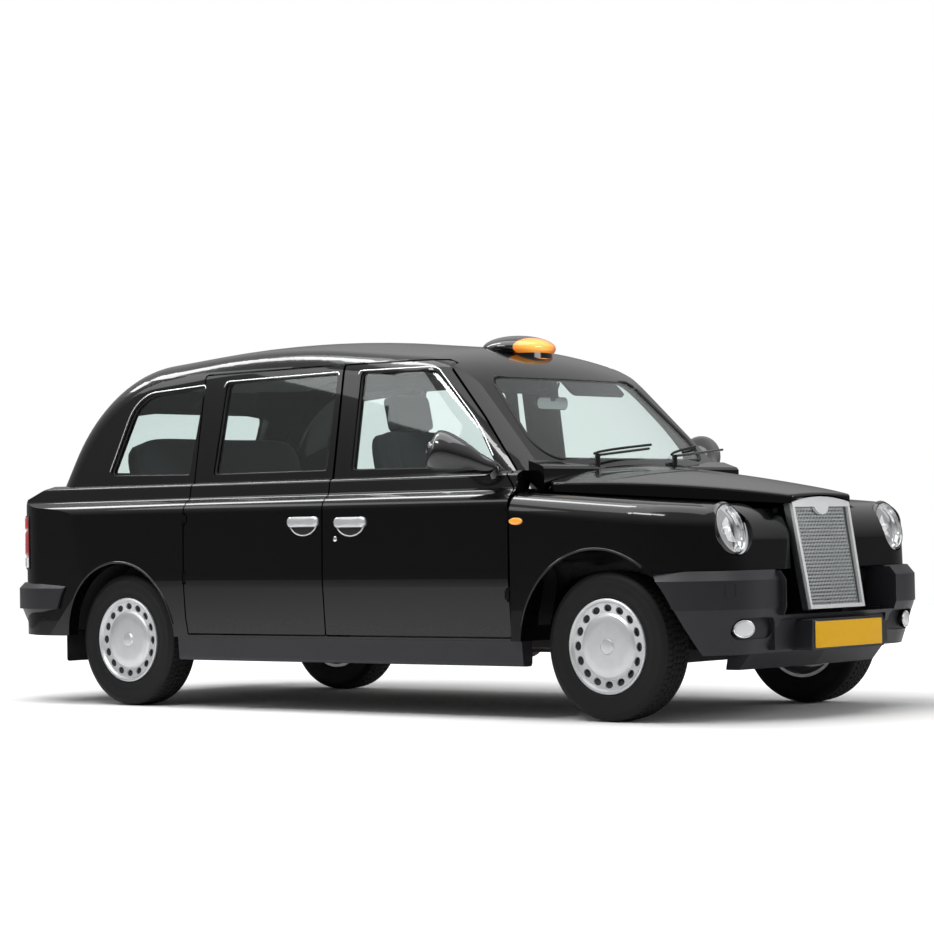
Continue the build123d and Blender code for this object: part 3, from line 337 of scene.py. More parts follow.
def tyre_rubber(name, x):
    finish = Finish(name, specular_ior_level=0.2)
    along, across, tall = finish.axes()
    radius = ((along - x) ** 2 + (tall - AXLE_HEIGHT) ** 2) ** 0.5
    worn = radius.fade(0.30, 0.32)
    finish.set("Base Color", finish.mix(worn, (0.006, 0.006, 0.0065), (0.013, 0.012, 0.0115)))
    finish.set("Roughness", worn * 0.2 + 0.5 + finish.noise(20) * 0.08)
    return finish.bump((radius * 900).sine(), 0.12, 0.0006)


tyre_finish = {end: tyre_rubber("tyre_" + end, x) for end, x in AXLES.items()}
print("rubber for", len(tyre_finish), "axles")

# %% [markdown]
# ## Cloth
# Seat cloth is a weave: two sets of ridges crossed. Real threads would take millions of faces, so the
# weave is a bump, and a little sheen stands for its fuzz.


# %% Seat cloth
def cloth(name, dark, light, threads=2200):
    finish = Finish(name, roughness=0.9, sheen_weight=0.3, sheen_roughness=0.5)
    along, across, tall = finish.axes()
    weave = (across * threads).sine() * ((along + tall) * threads).sine()
    finish.set("Base Color", finish.mix(finish.noise(120, 4), dark, light))
    return finish.bump(weave, 0.3, 0.0008)


seat_cloth = cloth("seat_cloth", (0.012, 0.013, 0.016), (0.03, 0.032, 0.037))
print("cloth ready")

# %% [markdown]
# ## Glass
# A window is a thin pane. Real refraction would bend and darken what lies behind, so the pane mixes clear
# transparency with a mirror that grows at shallow angles. Layer Weight's Facing value raised to the fifth
# power is the usual short form of that law, and it works from both sides of a pane.


# %% Window glass
def pane(name, tint, base=0.04):
    finish = Finish(name)
    clear = finish.add("ShaderNodeBsdfTransparent", inputs={"Color": tint})
    shine = finish.add("ShaderNodeBsdfGlossy", inputs={"Roughness": 0.02, "Color": (0.9, 0.92, 0.92)})
    facing = finish.add("ShaderNodeLayerWeight", inputs={"Blend": 0.5}, output="Facing")
    mirror = facing ** 5 * (1 - base) + base
    surface = finish.add("ShaderNodeMixShader", inputs={0: mirror, 1: clear, 2: shine})
    finish.feed(finish.output.inputs["Surface"], surface)
    return finish


window_glass = pane("window_glass", (0.91, 0.95, 0.94))
screen_glass = pane("screen_glass", (0.95, 0.985, 0.975))
lamp_glass = pane("lamp_glass", (0.97, 0.97, 0.97), 0.08)
print("panes ready")

# %% [markdown]
# ## Lenses
# A lamp's lens is coloured plastic with small flutes inside that break up the light. Crossed sine ridges
# give the flutes, and a weak glow stands for the light that a real lens gathers.


# %% Coloured lenses
def lens(name, dark, light, glow=0.0):
    finish = Finish(name, roughness=0.12, coat_weight=1.0, coat_roughness=0.02)
    along, across, tall = finish.axes()
    flutes = ((across + along) * 900).sine() * (tall * 900).sine()
    color = finish.mix(flutes * 0.5 + 0.5, dark, light)
    finish.set("Base Color", color)
    finish.set("Emission Color", color)
    finish.set("Emission Strength", glow)
    return finish.bump(flutes, 0.2, 0.001)


red_lens = lens("red_lens", (0.32, 0.006, 0.01), (0.55, 0.02, 0.03), 0.2)
amber_lens = lens("amber_lens", (0.75, 0.20, 0.01), (0.95, 0.36, 0.03), 0.35)
clear_lens = lens("clear_lens", (0.55, 0.56, 0.57), (0.85, 0.86, 0.87), 0.05)
print("lenses ready")

# %% [markdown]
# ## The sign's lens
# The sign is lit from inside by one bulb, so it is bright in the middle and deeper amber at its rim. The
# distance from the bulb, measured as an oval, mixes the two colours.

# %% The sign's lit lens
SIGN_X, SIGN_Z = 0.501, 1.668
sign_lens = Finish("sign_lens", roughness=0.15, coat_weight=0.8)
along, across, tall = sign_lens.axes()
from_middle = ((across + 0.03) / 0.15) ** 2 + ((tall - SIGN_Z - 0.005) / 0.045) ** 2
glow_color = sign_lens.mix(from_middle.fade(0.1, 1.0), (1.0, 0.46, 0.07), (0.72, 0.15, 0.008))
sign_lens.set("Base Color", glow_color)
sign_lens.set("Emission Color", glow_color)
sign_lens.set("Emission Strength", 0.55)
sign_lens.bump(sign_lens.noise(90, 2), 0.05, 0.002)
print("sign lens ready")

# %% [markdown]
# ## Dressing the CAD
# Each CAD node keeps its shape and gets one finish. A table keeps it readable.

# %% Finishes for the CAD nodes
DRESS = {
    lacquer: "roof right_body_side left_body_side tail_panel scuttle_panel front_wings nose_panel "
    "bonnet boot_lid right_front_door left_front_door right_rear_door left_rear_door",
    bumper_plastic: "sills front_bumper rear_bumper",
    gloss_plastic: "roof_sign wipers right_mirror left_mirror front_lamps",
    window_glass: "right_front_glass left_front_glass right_rear_glass left_rear_glass rear_window "
    "quarter_windows",
    screen_glass: "windscreen",
    grille_finish: "grille",
    red_lens: "tail_lamps",
    cabin_plastic: "dashboard steering_wheel partition",
    seat_cloth: "driver_seat rear_seat tip_seats",
    underseal: "floor_pan",
    chassis_black: "chassis_frame front_suspension right_knuckle left_knuckle rear_axle fuel_tank",
    casting: "engine",
    dull_steel: "exhaust",
    silver: "right_front_wheel left_front_wheel right_rear_wheel left_rear_wheel",
    tyre_finish["front"]: "right_front_tyre left_front_tyre",
    tyre_finish["rear"]: "right_rear_tyre left_rear_tyre",
}
for finish, names in DRESS.items():
    for name in names.split():
        nodes[name].data.materials.clear()
        nodes[name].data.materials.append(finish.material)
print("dressed", sum(len(names.split()) for names in DRESS.values()), "nodes")

# %% [markdown]
# ## Making pieces
# A form is a list of points and a list of faces. Small functions make forms: a profile turned round an
# axis, an outline pressed into a dome, a flat sheet, a stuffed pad. `mesh_piece` joins forms into one
# object, and `fit` gives it its finish and its body. `dress` does both for the usual case.
# Curves with a bevel serve as tubes.


# %% From forms to pieces
def mesh_piece(name, *forms, merge=1e-5):
    points, faces = [], []
    for form_points, form_faces in forms:
        start = len(points)
        points += [tuple(point) for point in form_points]
        faces += [tuple(start + i for i in face) for face in form_faces]
    data = bpy.data.meshes.new(name)
    data.from_pydata(points, [], faces)
    work = bmesh.new()
    work.from_mesh(data)
    bmesh.ops.remove_doubles(work, verts=work.verts, dist=merge)
    bmesh.ops.recalc_face_normals(work, faces=work.faces)
    work.to_mesh(data)
    work.free()
    piece = bpy.data.objects.new(name, data)
    bpy.context.scene.collection.objects.link(piece)
    return piece


def fit(piece, finish, body, crease=35):
    """Finish and body; edges sharper than crease degrees stay sharp."""
    piece.data.materials.append(finish.material)
    if piece.type == "MESH":
        piece.data.polygons.foreach_set("use_smooth", [True] * len(piece.data.polygons))
        piece.data.set_sharp_from_angle(angle=math.radians(crease))
    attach(piece, body)
    return piece


def dress(name, finish, slot, *forms, body="cab", crease=35):
    return fit(mesh_piece(name, *forms), finish, body, crease)


def tube(name, points, radius, cyclic=False):
    curve = bpy.data.curves.new(name, "CURVE")
    curve.dimensions = "3D"
    curve.bevel_depth = radius
    curve.bevel_resolution = 3
    curve.use_fill_caps = not cyclic
    spline = curve.splines.new("POLY")
    spline.points.add(len(points) - 1)
    for knot, point in zip(spline.points, points):
        knot.co = (*point, 1)
    spline.use_cyclic_u = cyclic
    piece = bpy.data.objects.new(name, curve)
    bpy.context.scene.collection.objects.link(piece)
    return piece


print("piece helpers ready")

# %% [markdown]
# ## Forms
# Most small parts are turned on a lathe or pressed out of sheet. A lathe form is a profile carried round
# an axis. A pressing is a stack of outlines, each a little smaller and higher than the last, which gives
# a real round edge where a modifier's bevel would need tuning for each part.


# %% Forms
def turned(profile, centre, axis, steps=96):
    """Turns (radius, along) points about an axis through centre; axis is the outward direction."""
    axis = Vector(axis).normalized()
    side = axis.cross(Vector((0, 0, 1))).normalized()
    rise = side.cross(axis)
    points, faces = [], []
    for k in range(steps):
        angle = 2 * math.pi * k / steps
        ray = math.cos(angle) * side + math.sin(angle) * rise
        points += [Vector(centre) + ray * r + axis * d for r, d in profile]
    n = len(profile)
    for k in range(steps):
        for i in range(n - 1):
            a, b = k * n + i, (k + 1) % steps * n + i
            faces.append((a, b, b + 1, a + 1))
    return points, faces


def pressed(outline, seat, levels):
    """Rings of one outline, each (scale, height) above its seat, closed at the end by a cap."""
    place, across, tall = (Vector(v) for v in seat)
    out = across.cross(tall)
    n = len(outline)
    points = []
    for scale, height in levels:
        points += [place + across * u * scale + tall * v * scale + out * height for u, v in outline]
    faces = []
    for k in range(len(levels) - 1):
        for i in range(n):
            a, b = k * n + i, k * n + (i + 1) % n
            faces.append((a, b, b + n, a + n))
    faces.append(tuple(range((len(levels) - 1) * n, len(levels) * n)))
    return points, faces


def rounded(half_wide, half_tall, radius, steps=6):
    """A rectangle with round corners."""
    points = []
    for sign_u, sign_v, start in ((1, 1, 0), (-1, 1, 90), (-1, -1, 180), (1, -1, 270)):
        for k in range(steps + 1):
            angle = math.radians(start + 90 * k / steps)
            u = sign_u * (half_wide - radius) + radius * math.cos(angle)
            points.append((u, sign_v * (half_tall - radius) + radius * math.sin(angle)))
    return points


def oval(half_wide, half_tall, steps=48):
    angles = [2 * math.pi * k / steps for k in range(steps)]
    return [(half_wide * math.cos(a), half_tall * math.sin(a)) for a in angles]


def slab(thickness):
    """Levels for a flat sheet with a small bevel."""
    bevel = thickness * 0.25
    return ((1, 0), (1, thickness - bevel), (0.995, thickness), (0.5, thickness))


DOME = ((1, 0), (1, 0.35), (0.97, 0.65), (0.88, 0.9), (0.7, 1.0), (0.3, 1.06))


def domed(height):
    """Levels for a low dome."""
    return [(scale, share * height) for scale, share in DOME]


print("form helpers ready")

# %% [markdown]
# ## Feeling for the surface
# Small parts have to sit on the curved panels. A ray shot at the frame's own mesh finds the point and the
# direction of the surface there, so nothing has to be measured twice.


# %% Rays against the frame
def skin_of(*names):
    """A ray-castable copy of some CAD nodes."""
    points, faces = [], []
    for name in names:
        start = len(points)
        points += [vertex.co.copy() for vertex in nodes[name].data.vertices]
        faces += [[start + i for i in polygon.vertices] for polygon in nodes[name].data.polygons]
    return BVHTree.FromPolygons(points, faces)


FLANK = ("front_wings", "tail_panel", "roof")
side_skin = {
    side: skin_of(side + "_front_door", side + "_rear_door", side + "_body_side", *FLANK) for side in SIDES
}
# where rays start, beside the cab and ahead of it
BESIDE, AHEAD = 1.6, 3.5
# a ray that slips through a shut line is tried again a little to one side
STEPS_ASIDE = ((0, 0), (0, -0.012), (0.012, 0), (-0.012, 0), (0, 0.012), (0, -0.03), (0.03, 0), (-0.03, 0))


def on_side(side, x, z, out=0.0):
    """The point and outward direction of the cab's side at x and z, as seen from beside it."""
    sign = SIDES[side]
    for shift_x, shift_z in STEPS_ASIDE:
        start = Vector((x + shift_x, sign * BESIDE, z + shift_z))
        place, normal, _, _ = side_skin[side].ray_cast(start, Vector((0, -sign, 0)))
        if place:
            break
    if normal.y * sign < 0:
        normal = -normal
    return place - Vector((shift_x, 0, shift_z)) + normal * out, normal


def seen_from(direction, skin, y, z):
    """The point and outward direction of a skin, met by a ray from ahead (1) or from behind (-1)."""
    start = Vector((direction * AHEAD, y, z))
    place, normal, _, _ = skin.ray_cast(start, Vector((-direction, 0, 0)))
    return place, normal if normal.x * direction > 0 else -normal


def seat_at(place, normal):
    """A seat on a surface: the place, a direction across and one up, both lying in the surface."""
    tall = (Vector((0, 0, 1)) - normal * normal.z).normalized()
    across = tall.cross(normal).normalized()
    return place, across, tall


def bend(a, b, c):
    """Above 0 where a, b, c turn left."""
    return (b[0] - a[0]) * (c[1] - a[1]) - (b[1] - a[1]) * (c[0] - a[0])


def hull(points):
    """The outer ring of (u, v, place) points, counted round."""
    ordered = sorted(points, key=lambda p: (p[0], p[1]))

    def half(run):
        ring = []
        for p in run:
            while len(ring) > 1 and bend(ring[-2], ring[-1], p) <= 1e-9:
                ring.pop()
            ring.append(p)
        return ring[:-1]

    return half(ordered) + half(ordered[::-1])


def places_of(name):
    return [vertex.co.copy() for vertex in nodes[name].data.vertices]


def pane_edge(places, axes, outward):
    """The ring round a glass's outer face: axes are the two that the outline is drawn in."""
    best = {}
    for place in places:
        key = tuple(round(place[axis], 4) for axis in axes)
        if key not in best or place.dot(outward) > best[key].dot(outward):
            best[key] = place
    return [place for u, v, place in hull([(*key, place) for key, place in best.items()])]


print("surface helpers ready")

# %% [markdown]
# ## Tyres
# A road tyre has four grooves round it and narrow cuts across its ribs. The CAD tyre is smooth, so these
# replace it: one cross-section is carried round the axle, and its rib points drop into a cut at every
# fourth step. The outside stays at the CAD's radius, because the cab stands on it.

# %% Treaded tyres
TYRE_RADIUS, TYRE_HALF, BEAD_RADIUS = 0.320, 0.088, 0.2035
TREAD_PITCHES, STEPS_PER_PITCH = 72, 4
GROOVE_DEPTH, GROOVE_SLOPE, CUT_DEPTH = 0.0075, 0.0012, 0.005
CROWN_DROP, CROWN_REACH = 0.0042, 0.07
RIBS = ((-0.067, -0.043), (-0.037, -0.0165), (-0.0105, 0.0105), (0.0165, 0.037), (0.043, 0.067))
# (radius, distance from the middle) up one sidewall
SIDEWALL = (
    *((BEAD_RADIUS, 0.074), (0.207, 0.0795), (0.214, 0.0825), (0.217, 0.0815)),
    *((0.235, 0.0862), (0.262, TYRE_HALF), (0.283, 0.0872), (0.286, 0.0882)),
    *((0.292, 0.0865), (0.302, 0.0825), (0.310, 0.0772), (0.3148, 0.0722)),
)
HALF_TRACK = {"front": 0.731, "rear": 0.742}


def crown(along):
    """The tread's radius, which falls off towards the shoulders."""
    return TYRE_RADIUS - CROWN_DROP * (abs(along) / CROWN_REACH) ** 3


def tyre_section(step):
    """(radius, along) points of the tyre at one step round it."""
    points = list(SIDEWALL)
    for index, (low, high) in enumerate(RIBS[::-1]):
        outer_rib = index in (0, len(RIBS) - 1)
        phase = (step + (0 if outer_rib else 2)) % STEPS_PER_PITCH
        drop = CUT_DEPTH if phase == 0 else 0
        for along in (high, (low + high) / 2, low):
            points.append((crown(along) - drop, along))
        if index < len(RIBS) - 1:
            following = RIBS[::-1][index + 1][1]
            points.append((crown(low) - GROOVE_DEPTH, low - GROOVE_SLOPE))
            points.append((crown(following) - GROOVE_DEPTH, following + GROOVE_SLOPE))
    return points + [(r, -along) for r, along in SIDEWALL[::-1]]


def tyre_form(centre, axis):
    steps = TREAD_PITCHES * STEPS_PER_PITCH
    axis = Vector(axis)
    points, faces = [], []
    for k in range(steps):
        angle = 2 * math.pi * k / steps
        ray = Vector((math.cos(angle), 0, math.sin(angle)))
        points += [Vector(centre) + ray * r + axis * along for r, along in tyre_section(k)]
    n = len(tyre_section(0))
    for k in range(steps):
        for i in range(n):
            a, b = k * n + i, (k + 1) % steps * n + i
            a_next, b_next = k * n + (i + 1) % n, (k + 1) % steps * n + (i + 1) % n
            faces.append((a, b, b_next, a_next))
    return points, faces


WHEELS = [
    (side, end, (AXLES[end], sign * HALF_TRACK[end], AXLE_HEIGHT))
    for side, sign in SIDES.items()
    for end in AXLES
]
for side, end, centre in WHEELS:
    tyre = mesh_piece(f"{side}_{end}_treaded_tyre", tyre_form(centre, (0, SIDES[side], 0)))
    fit(tyre, tyre_finish[end], f"{side}_{end}_wheel_body", crease=50)
    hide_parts(f"{side}_{end}_tyre")
print("tyre faces", len(tyre.data.polygons))

# %% [markdown]
# ## Wheel trims
# Each steel wheel wears a silver trim: a bright outer ring, a ring of oval cooling holes and a raised
# plain centre. A hole is cut by stretching a sheet between two loops, the oval and the edge of its own
# sector, so neighbouring sectors meet point by point. A dark dish behind the holes stands for the wheel.

# %% Trim with oval holes
HOLES = 16
BAND_MIDDLE, BAND_HALF = 0.1625, 0.0215
HOLE_HALF_TALL, HOLE_HALF_TURN = 0.0150, 0.122
BAND_HEIGHT, BAND_RISE, HOLE_DEPTH = 0.0722, 0.0020, 0.009
# (share of the oval, depth) down a hole's wall
HOLE_WALL = ((1.06, 0), (1, 0.0015), (0.97, HOLE_DEPTH))
LOOP = 32
# (radius, distance from the wheel's middle) of what is turned
OUTER_RING = (
    *((0.184, 0.0738), (0.187, 0.0785), (0.192, 0.0855)),
    *((0.198, 0.0865), (0.2025, 0.084), (0.2025, 0.080)),
)
INNER_RING = (
    *((0.1411, 0.0703), (0.138, 0.0722), (0.134, 0.0765)),
    *((0.130, 0.0785), (0.095, 0.0800), (0.060, 0.0808)),
)
CENTRE_CAP = (
    *((0.060, 0.0808), (0.036, 0.0810), (0.0345, 0.0795), (0.033, 0.0812)),
    *((0.030, 0.0850), (0.018, 0.0866), (0, 0.0870)),
)
DISH = ((0.139, 0.0662), (0.150, 0.0572), (0.165, 0.0640), (0.181, 0.0712), (0.1845, 0.0735))


def trim_band(centre, sign):
    """The ring of sectors, each with its oval hole and the hole's wall."""
    sector = math.pi / HOLES
    points, faces = [], []

    def put(turn, radius, sink):
        lift = BAND_HEIGHT + BAND_RISE * (radius - BAND_MIDDLE) / BAND_HALF - sink
        x, z = centre[0] + radius * math.cos(turn), centre[2] + radius * math.sin(turn)
        points.append((x, centre[1] + sign * lift, z))

    for hole in range(HOLES):
        start, middle = len(points), 2 * sector * hole
        for k in range(LOOP):
            c, s = math.cos(2 * math.pi * k / LOOP), math.sin(2 * math.pi * k / LOOP)
            reach = 1 / max(abs(c), abs(s))
            put(middle + sector * c * reach, BAND_MIDDLE + BAND_HALF * s * reach, 0)
            for share, sink in HOLE_WALL:
                put(middle + HOLE_HALF_TURN * c * share, BAND_MIDDLE + HOLE_HALF_TALL * s * share, sink)
        for k in range(LOOP):
            a, b = start + 4 * k, start + 4 * ((k + 1) % LOOP)
            faces += [(a + i, b + i, b + i + 1, a + i + 1) for i in range(3)]
    return points, faces


for side, end, centre in WHEELS:
    sign, body = SIDES[side], f"{side}_{end}_wheel_body"
    rings = [turned(profile, centre, (0, sign, 0)) for profile in (OUTER_RING, INNER_RING, CENTRE_CAP)]
    trim = dress(f"{side}_{end}_wheel_trim", silver, "bright", trim_band(centre, sign), *rings, body=body)
    dish = turned(DISH, centre, (0, sign, 0))
    dress(f"{side}_{end}_wheel_dish", chassis_black, "chassis", dish, body=body)
print("trim faces", len(trim.data.polygons))

# %% [markdown]
# ## Window seals
# Every pane sits in a black rubber strip, and a thin bright bead runs over the top of each side window.
# The seal follows the outer ring of the pane's own mesh, which is a convex hull seen from outside.

# %% Seals and beads
SEAL_RADIUS, SCREEN_SEAL_RADIUS = 0.0065, 0.008
BEAD_WIDTH, BEAD_OUT, BEAD_PROUD = 0.0026, 0.013, 0.4
BEAD_FROM = 1.14
SIDE_PANES = {"front_glass": "front_door_body", "rear_glass": "rear_door_body"}


def bead_over(name, side, ring, body):
    """The bright bead on the frame, a little outside the pane, where the ring runs above the belt."""
    middle = sum(ring, Vector()) / len(ring)
    points = []
    for place in ring:
        away = Vector((place.x - middle.x, 0, place.z - middle.z)).normalized() * BEAD_OUT
        spot = place + away
        points.append((spot.z > BEAD_FROM, on_side(side, spot.x, spot.z, BEAD_WIDTH * BEAD_PROUD)[0]))
    first = next(i for i in range(len(points)) if points[i][0] and not points[i - 1][0])
    run = [points[(first + i) % len(points)] for i in range(len(points))]
    run = [place for above, place in run if above]
    fit(tube(name, run, BEAD_WIDTH), chrome, body)


def side_seal(name, side, places, body):
    ring = pane_edge(places, (0, 2), Vector((0, SIDES[side], 0)))
    fit(tube(name + "_seal", ring, SEAL_RADIUS, True), seal_rubber, body)
    bead_over(name + "_bead", side, ring, body)


for side in SIDES:
    for pane_name, body in SIDE_PANES.items():
        side_seal(f"{side}_{pane_name}", side, places_of(f"{side}_{pane_name}"), f"{side}_{body}")
for side, sign in SIDES.items():
    outer = [place for place in places_of("quarter_windows") if place.y * sign > 0]
    side_seal(f"{side}_quarter", side, outer, "cab")

for name, ahead in (("windscreen", 1), ("rear_window", -1)):
    ring = pane_edge(places_of(name), (1, 2), Vector((ahead, 0, 0)))
    fit(tube(name + "_seal", ring, SCREEN_SEAL_RADIUS, True), seal_rubber, "cab")
print("seals ready")

# %% [markdown]
# ## Wheel arch lips
# A rolled edge stiffens each wheel arch and catches a thin line of light. A tube along the arch, laid on
# the surface that the rays find, gives it a real round edge.

# %% Arch lips
# end, radius, first and last degree
ARCHES = (("front", 0.414, 54, 168), ("rear", 0.378, 12, 168))
LIP_RADIUS, LIP_SUNK, LIP_STEP = 0.006, 0.3, 3
for side in SIDES:
    for end, radius, first, last in ARCHES:
        points = []
        for degrees in range(first, last + 1, LIP_STEP):
            angle = math.radians(degrees)
            x, z = AXLES[end] + radius * math.cos(angle), AXLE_HEIGHT + radius * math.sin(angle)
            points.append(on_side(side, x, z, -LIP_RADIUS * LIP_SUNK)[0])
        fit(tube(f"{side}_{end}_arch_lip", points, LIP_RADIUS), lacquer, "cab")
print("arch lips ready")

# %% [markdown]
# ## Door handles
# The handle is a silver flap over a dark hollow that the fingers reach into from below. The hollow is a
# half-moon with a bright lower rim. The front doors also have a round lock below the flap.

# %% Handles and locks
# door, x, z, whether it has a lock
HANDLES = (("front", 0.219, 0.868, True), ("rear", -0.074, 0.874, False))
HANDLE_HALF_WIDE, HANDLE_HALF_TALL, HANDLE_CORNER, HANDLE_RISE = 0.096, 0.024, 0.022, 0.017
HOLLOW_HALF_WIDE, HOLLOW_DROP, HOLLOW_THICK = 0.086, 0.062, 0.0016
RIM_RADIUS, RIM_OUT = 0.0032, 0.002
LOCK_BEHIND, LOCK_BELOW = 0.093, 0.074
LOCK = ((0.0115, 0), (0.0115, 0.003), (0.0085, 0.0045), (0.0035, 0.0045), (0.003, 0.003), (0, 0.003))


def half_moon(steps=20):
    """From the flap's foot down to the hollow's lowest point and up again."""
    angles = [math.pi * k / steps for k in range(steps + 1)]
    return [(HOLLOW_HALF_WIDE * math.cos(a), -HOLLOW_DROP * math.sin(a)) for a in angles]


for side in SIDES:
    for end, x, z, has_lock in HANDLES:
        body = f"{side}_{end}_door_body"
        seat = seat_at(*on_side(side, x, z))
        flap = pressed(rounded(HANDLE_HALF_WIDE, HANDLE_HALF_TALL, HANDLE_CORNER), seat, domed(HANDLE_RISE))
        dress(f"{side}_{end}_handle", silver, "bright", flap, body=body)
        hollow = pressed(half_moon(), seat, slab(HOLLOW_THICK))
        dress(f"{side}_{end}_handle_hollow", seal_rubber, "black_plastic", hollow, body=body)
        place, across, tall = seat
        rim = [place + across * u + tall * v + across.cross(tall) * RIM_OUT for u, v in half_moon()[1:-1]]
        fit(tube(f"{side}_{end}_handle_rim", rim, RIM_RADIUS), silver, body)
        if has_lock:
            lock = turned(LOCK, *on_side(side, x - LOCK_BEHIND, z - LOCK_BELOW), 40)
            dress(f"{side}_lock", chrome, "bright", lock, body=body)
print("handles ready")

# %% [markdown]
# ## Side repeaters
# A small oval amber lamp on each front wing repeats the turn signal: a black base and a domed lens, both
# pressed from ovals, so that they keep a crisp edge.

# %% Repeaters
REPEATER_X, REPEATER_Z = 1.190, 0.857
# half width and half height, then thickness or rise
REPEATER_BASE, REPEATER_LENS = ((0.040, 0.019), 0.003), ((0.0365, 0.0158), 0.012)
for side in SIDES:
    seat = seat_at(*on_side(side, REPEATER_X, REPEATER_Z))
    base = pressed(oval(*REPEATER_BASE[0]), seat, slab(REPEATER_BASE[1]))
    dress(f"{side}_repeater_base", gloss_plastic, "black_plastic", base)
    glow = pressed(oval(*REPEATER_LENS[0]), seat, domed(REPEATER_LENS[1]))
    dress(f"{side}_repeater", amber_lens, "red_lens", glow)
print("repeaters ready")

# %% [markdown]
# ## Fuel flap
# The round-cornered line behind the left rear door is the shut line of the fuel flap. The flap never
# opens here, so a thin dark tube on the surface is enough to draw its gap.

# %% Fuel flap
FLAP_X, FLAP_Z, FLAP_HALF, FLAP_CORNER, FLAP_GAP = -1.62, 0.87, 0.078, 0.022, 0.0022
flap_outline = rounded(FLAP_HALF, FLAP_HALF, FLAP_CORNER)
flap_line = [on_side("left", FLAP_X + u, FLAP_Z + v)[0] for u, v in flap_outline]
fit(tube("fuel_flap_line", flap_line, FLAP_GAP, True), seal_rubber, "cab")
print("flap line of", len(flap_line), "points")

# %% [markdown]
# ## Headlamps
# The CAD gives each headlamp a deep black bezel. In it go a polished bowl, a shielded bulb, a clear dome
# and, low on the inboard side, the white crescent of the side light. All of them stand on the plane of
# the lens, which leans back.

# %% Headlamp parts
LAMP_PLACE, LAMP_LEAN = (2.089, 0.615, 0.801), math.radians(16)
LAMP_HALF_TALL, LAMP_HALF_WIDE = 0.106, 0.096
# the side light: the ring that it follows, how its two edges leave the ring, its turn in degrees
CRESCENT_WIDE, CRESCENT_TALL, CRESCENT_SWELL = 0.1035, 0.1135, (0.004, -0.010)
CRESCENT_FIRST, CRESCENT_TURN, CRESCENT_OUT = -88, 100, 0.0335
CRESCENT_LEVELS = ((1, 0), (1, 0.004))
BOWL = ((0.99, 0.032), (0.975, 0.014), (0.93, 0.008), (0.80, 0.005), (0.55, 0.003), (0.30, 0.002))
BOWL_STEP = ((0.93, 0.0085), (0.925, 0.0125), (0.90, 0.0135), (0.88, 0.010), (0.86, 0.0065))
BULB = ((0, 0.024), (0.010, 0.023), (0.015, 0.018), (0.016, 0.006), (0.030, 0.004), (0.033, 0.002))
GLASS_DOME = ((1.0, 0.026), (0.97, 0.031), (0.85, 0.037), (0.6, 0.042), (0.3, 0.0445))


def lamp_seat(side):
    """Place, inboard direction turned to the right of an onlooker, and up the lens."""
    x, y, z = LAMP_PLACE
    tall = Vector((-math.sin(LAMP_LEAN), 0, math.cos(LAMP_LEAN)))
    return Vector((x, SIDES[side] * y, z)), Vector((0, 1, 0)), tall


def crescent(inboard, steps=24):
    """A crescent along the bezel between the lens and the bezel's rim."""
    edges = []
    for swell in CRESCENT_SWELL:
        edge = []
        for k in range(steps + 1):
            angle = math.radians(CRESCENT_FIRST + CRESCENT_TURN * k / steps)
            out = swell * math.sin(math.pi * k / steps)
            u, v = (CRESCENT_WIDE + out) * math.cos(angle), (CRESCENT_TALL + out) * math.sin(angle)
            edge.append((inboard * u, v))
        edges.append(edge)
    return edges[0] + edges[1][::-1][1:-1]


lens_outline = oval(LAMP_HALF_WIDE, LAMP_HALF_TALL, 64)
for side, sign in SIDES.items():
    seat = lamp_seat(side)
    place, across, tall = seat
    out = across.cross(tall)
    bowl, step, dome = [pressed(lens_outline, seat, levels) for levels in (BOWL, BOWL_STEP, GLASS_DOME)]
    dress(f"{side}_headlamp_bowl", chrome, "bright", bowl, step)
    dress(f"{side}_headlamp_bulb", silver, "bright", turned(BULB, place, out, 48))
    dress(f"{side}_headlamp_glass", lamp_glass, "glass", dome)
    side_light = pressed(crescent(-sign), (place + out * CRESCENT_OUT, across, tall), CRESCENT_LEVELS)
    dress(f"{side}_side_light", clear_lens, "glass", side_light)
print("headlamps ready")

# %% [markdown]
# ## Fog lamps
# The fog lamps lie in pockets of the bumper and follow its curve. A ray from ahead finds each CAD lamp's
# face, and a clear lens with a chrome rim is seated on it.

# %% Fog lamps
FOG_Y, FOG_Z = 0.630, 0.392
FOG_GLASS, FOG_RISE = (0.050, 0.032), 0.009
FOG_RIM, FOG_RIM_RADIUS, FOG_RIM_OUT = (0.053, 0.035), 0.0035, 0.002
lamp_skin = skin_of("front_lamps")
for side, sign in SIDES.items():
    place, normal = seen_from(1, lamp_skin, sign * FOG_Y, FOG_Z)
    seat = seat_at(place, normal)
    dress(f"{side}_fog_glass", clear_lens, "bright", pressed(oval(*FOG_GLASS), seat, domed(FOG_RISE)))
    rim = [place + seat[1] * u + seat[2] * v + normal * FOG_RIM_OUT for u, v in oval(*FOG_RIM)]
    fit(tube(f"{side}_fog_rim", rim, FOG_RIM_RADIUS, True), chrome, "cab")
print("fog lamps ready")

# %% [markdown]
# ## Plates
# A number plate is a thin reflective sheet on a dark board. Both stay blank. The rear one rides on the
# boot lid, so it opens with the lid.

# %% Plates
PLATE_HALF_WIDE, PLATE_HALF_TALL, PLATE_CORNER, PLATE_THICK = 0.260, 0.0555, 0.008, 0.0022
BOARD_SHOWS, FRONT_PLATE_Z, BOOT_PLATE_Z = 0.004, 0.354, 0.745
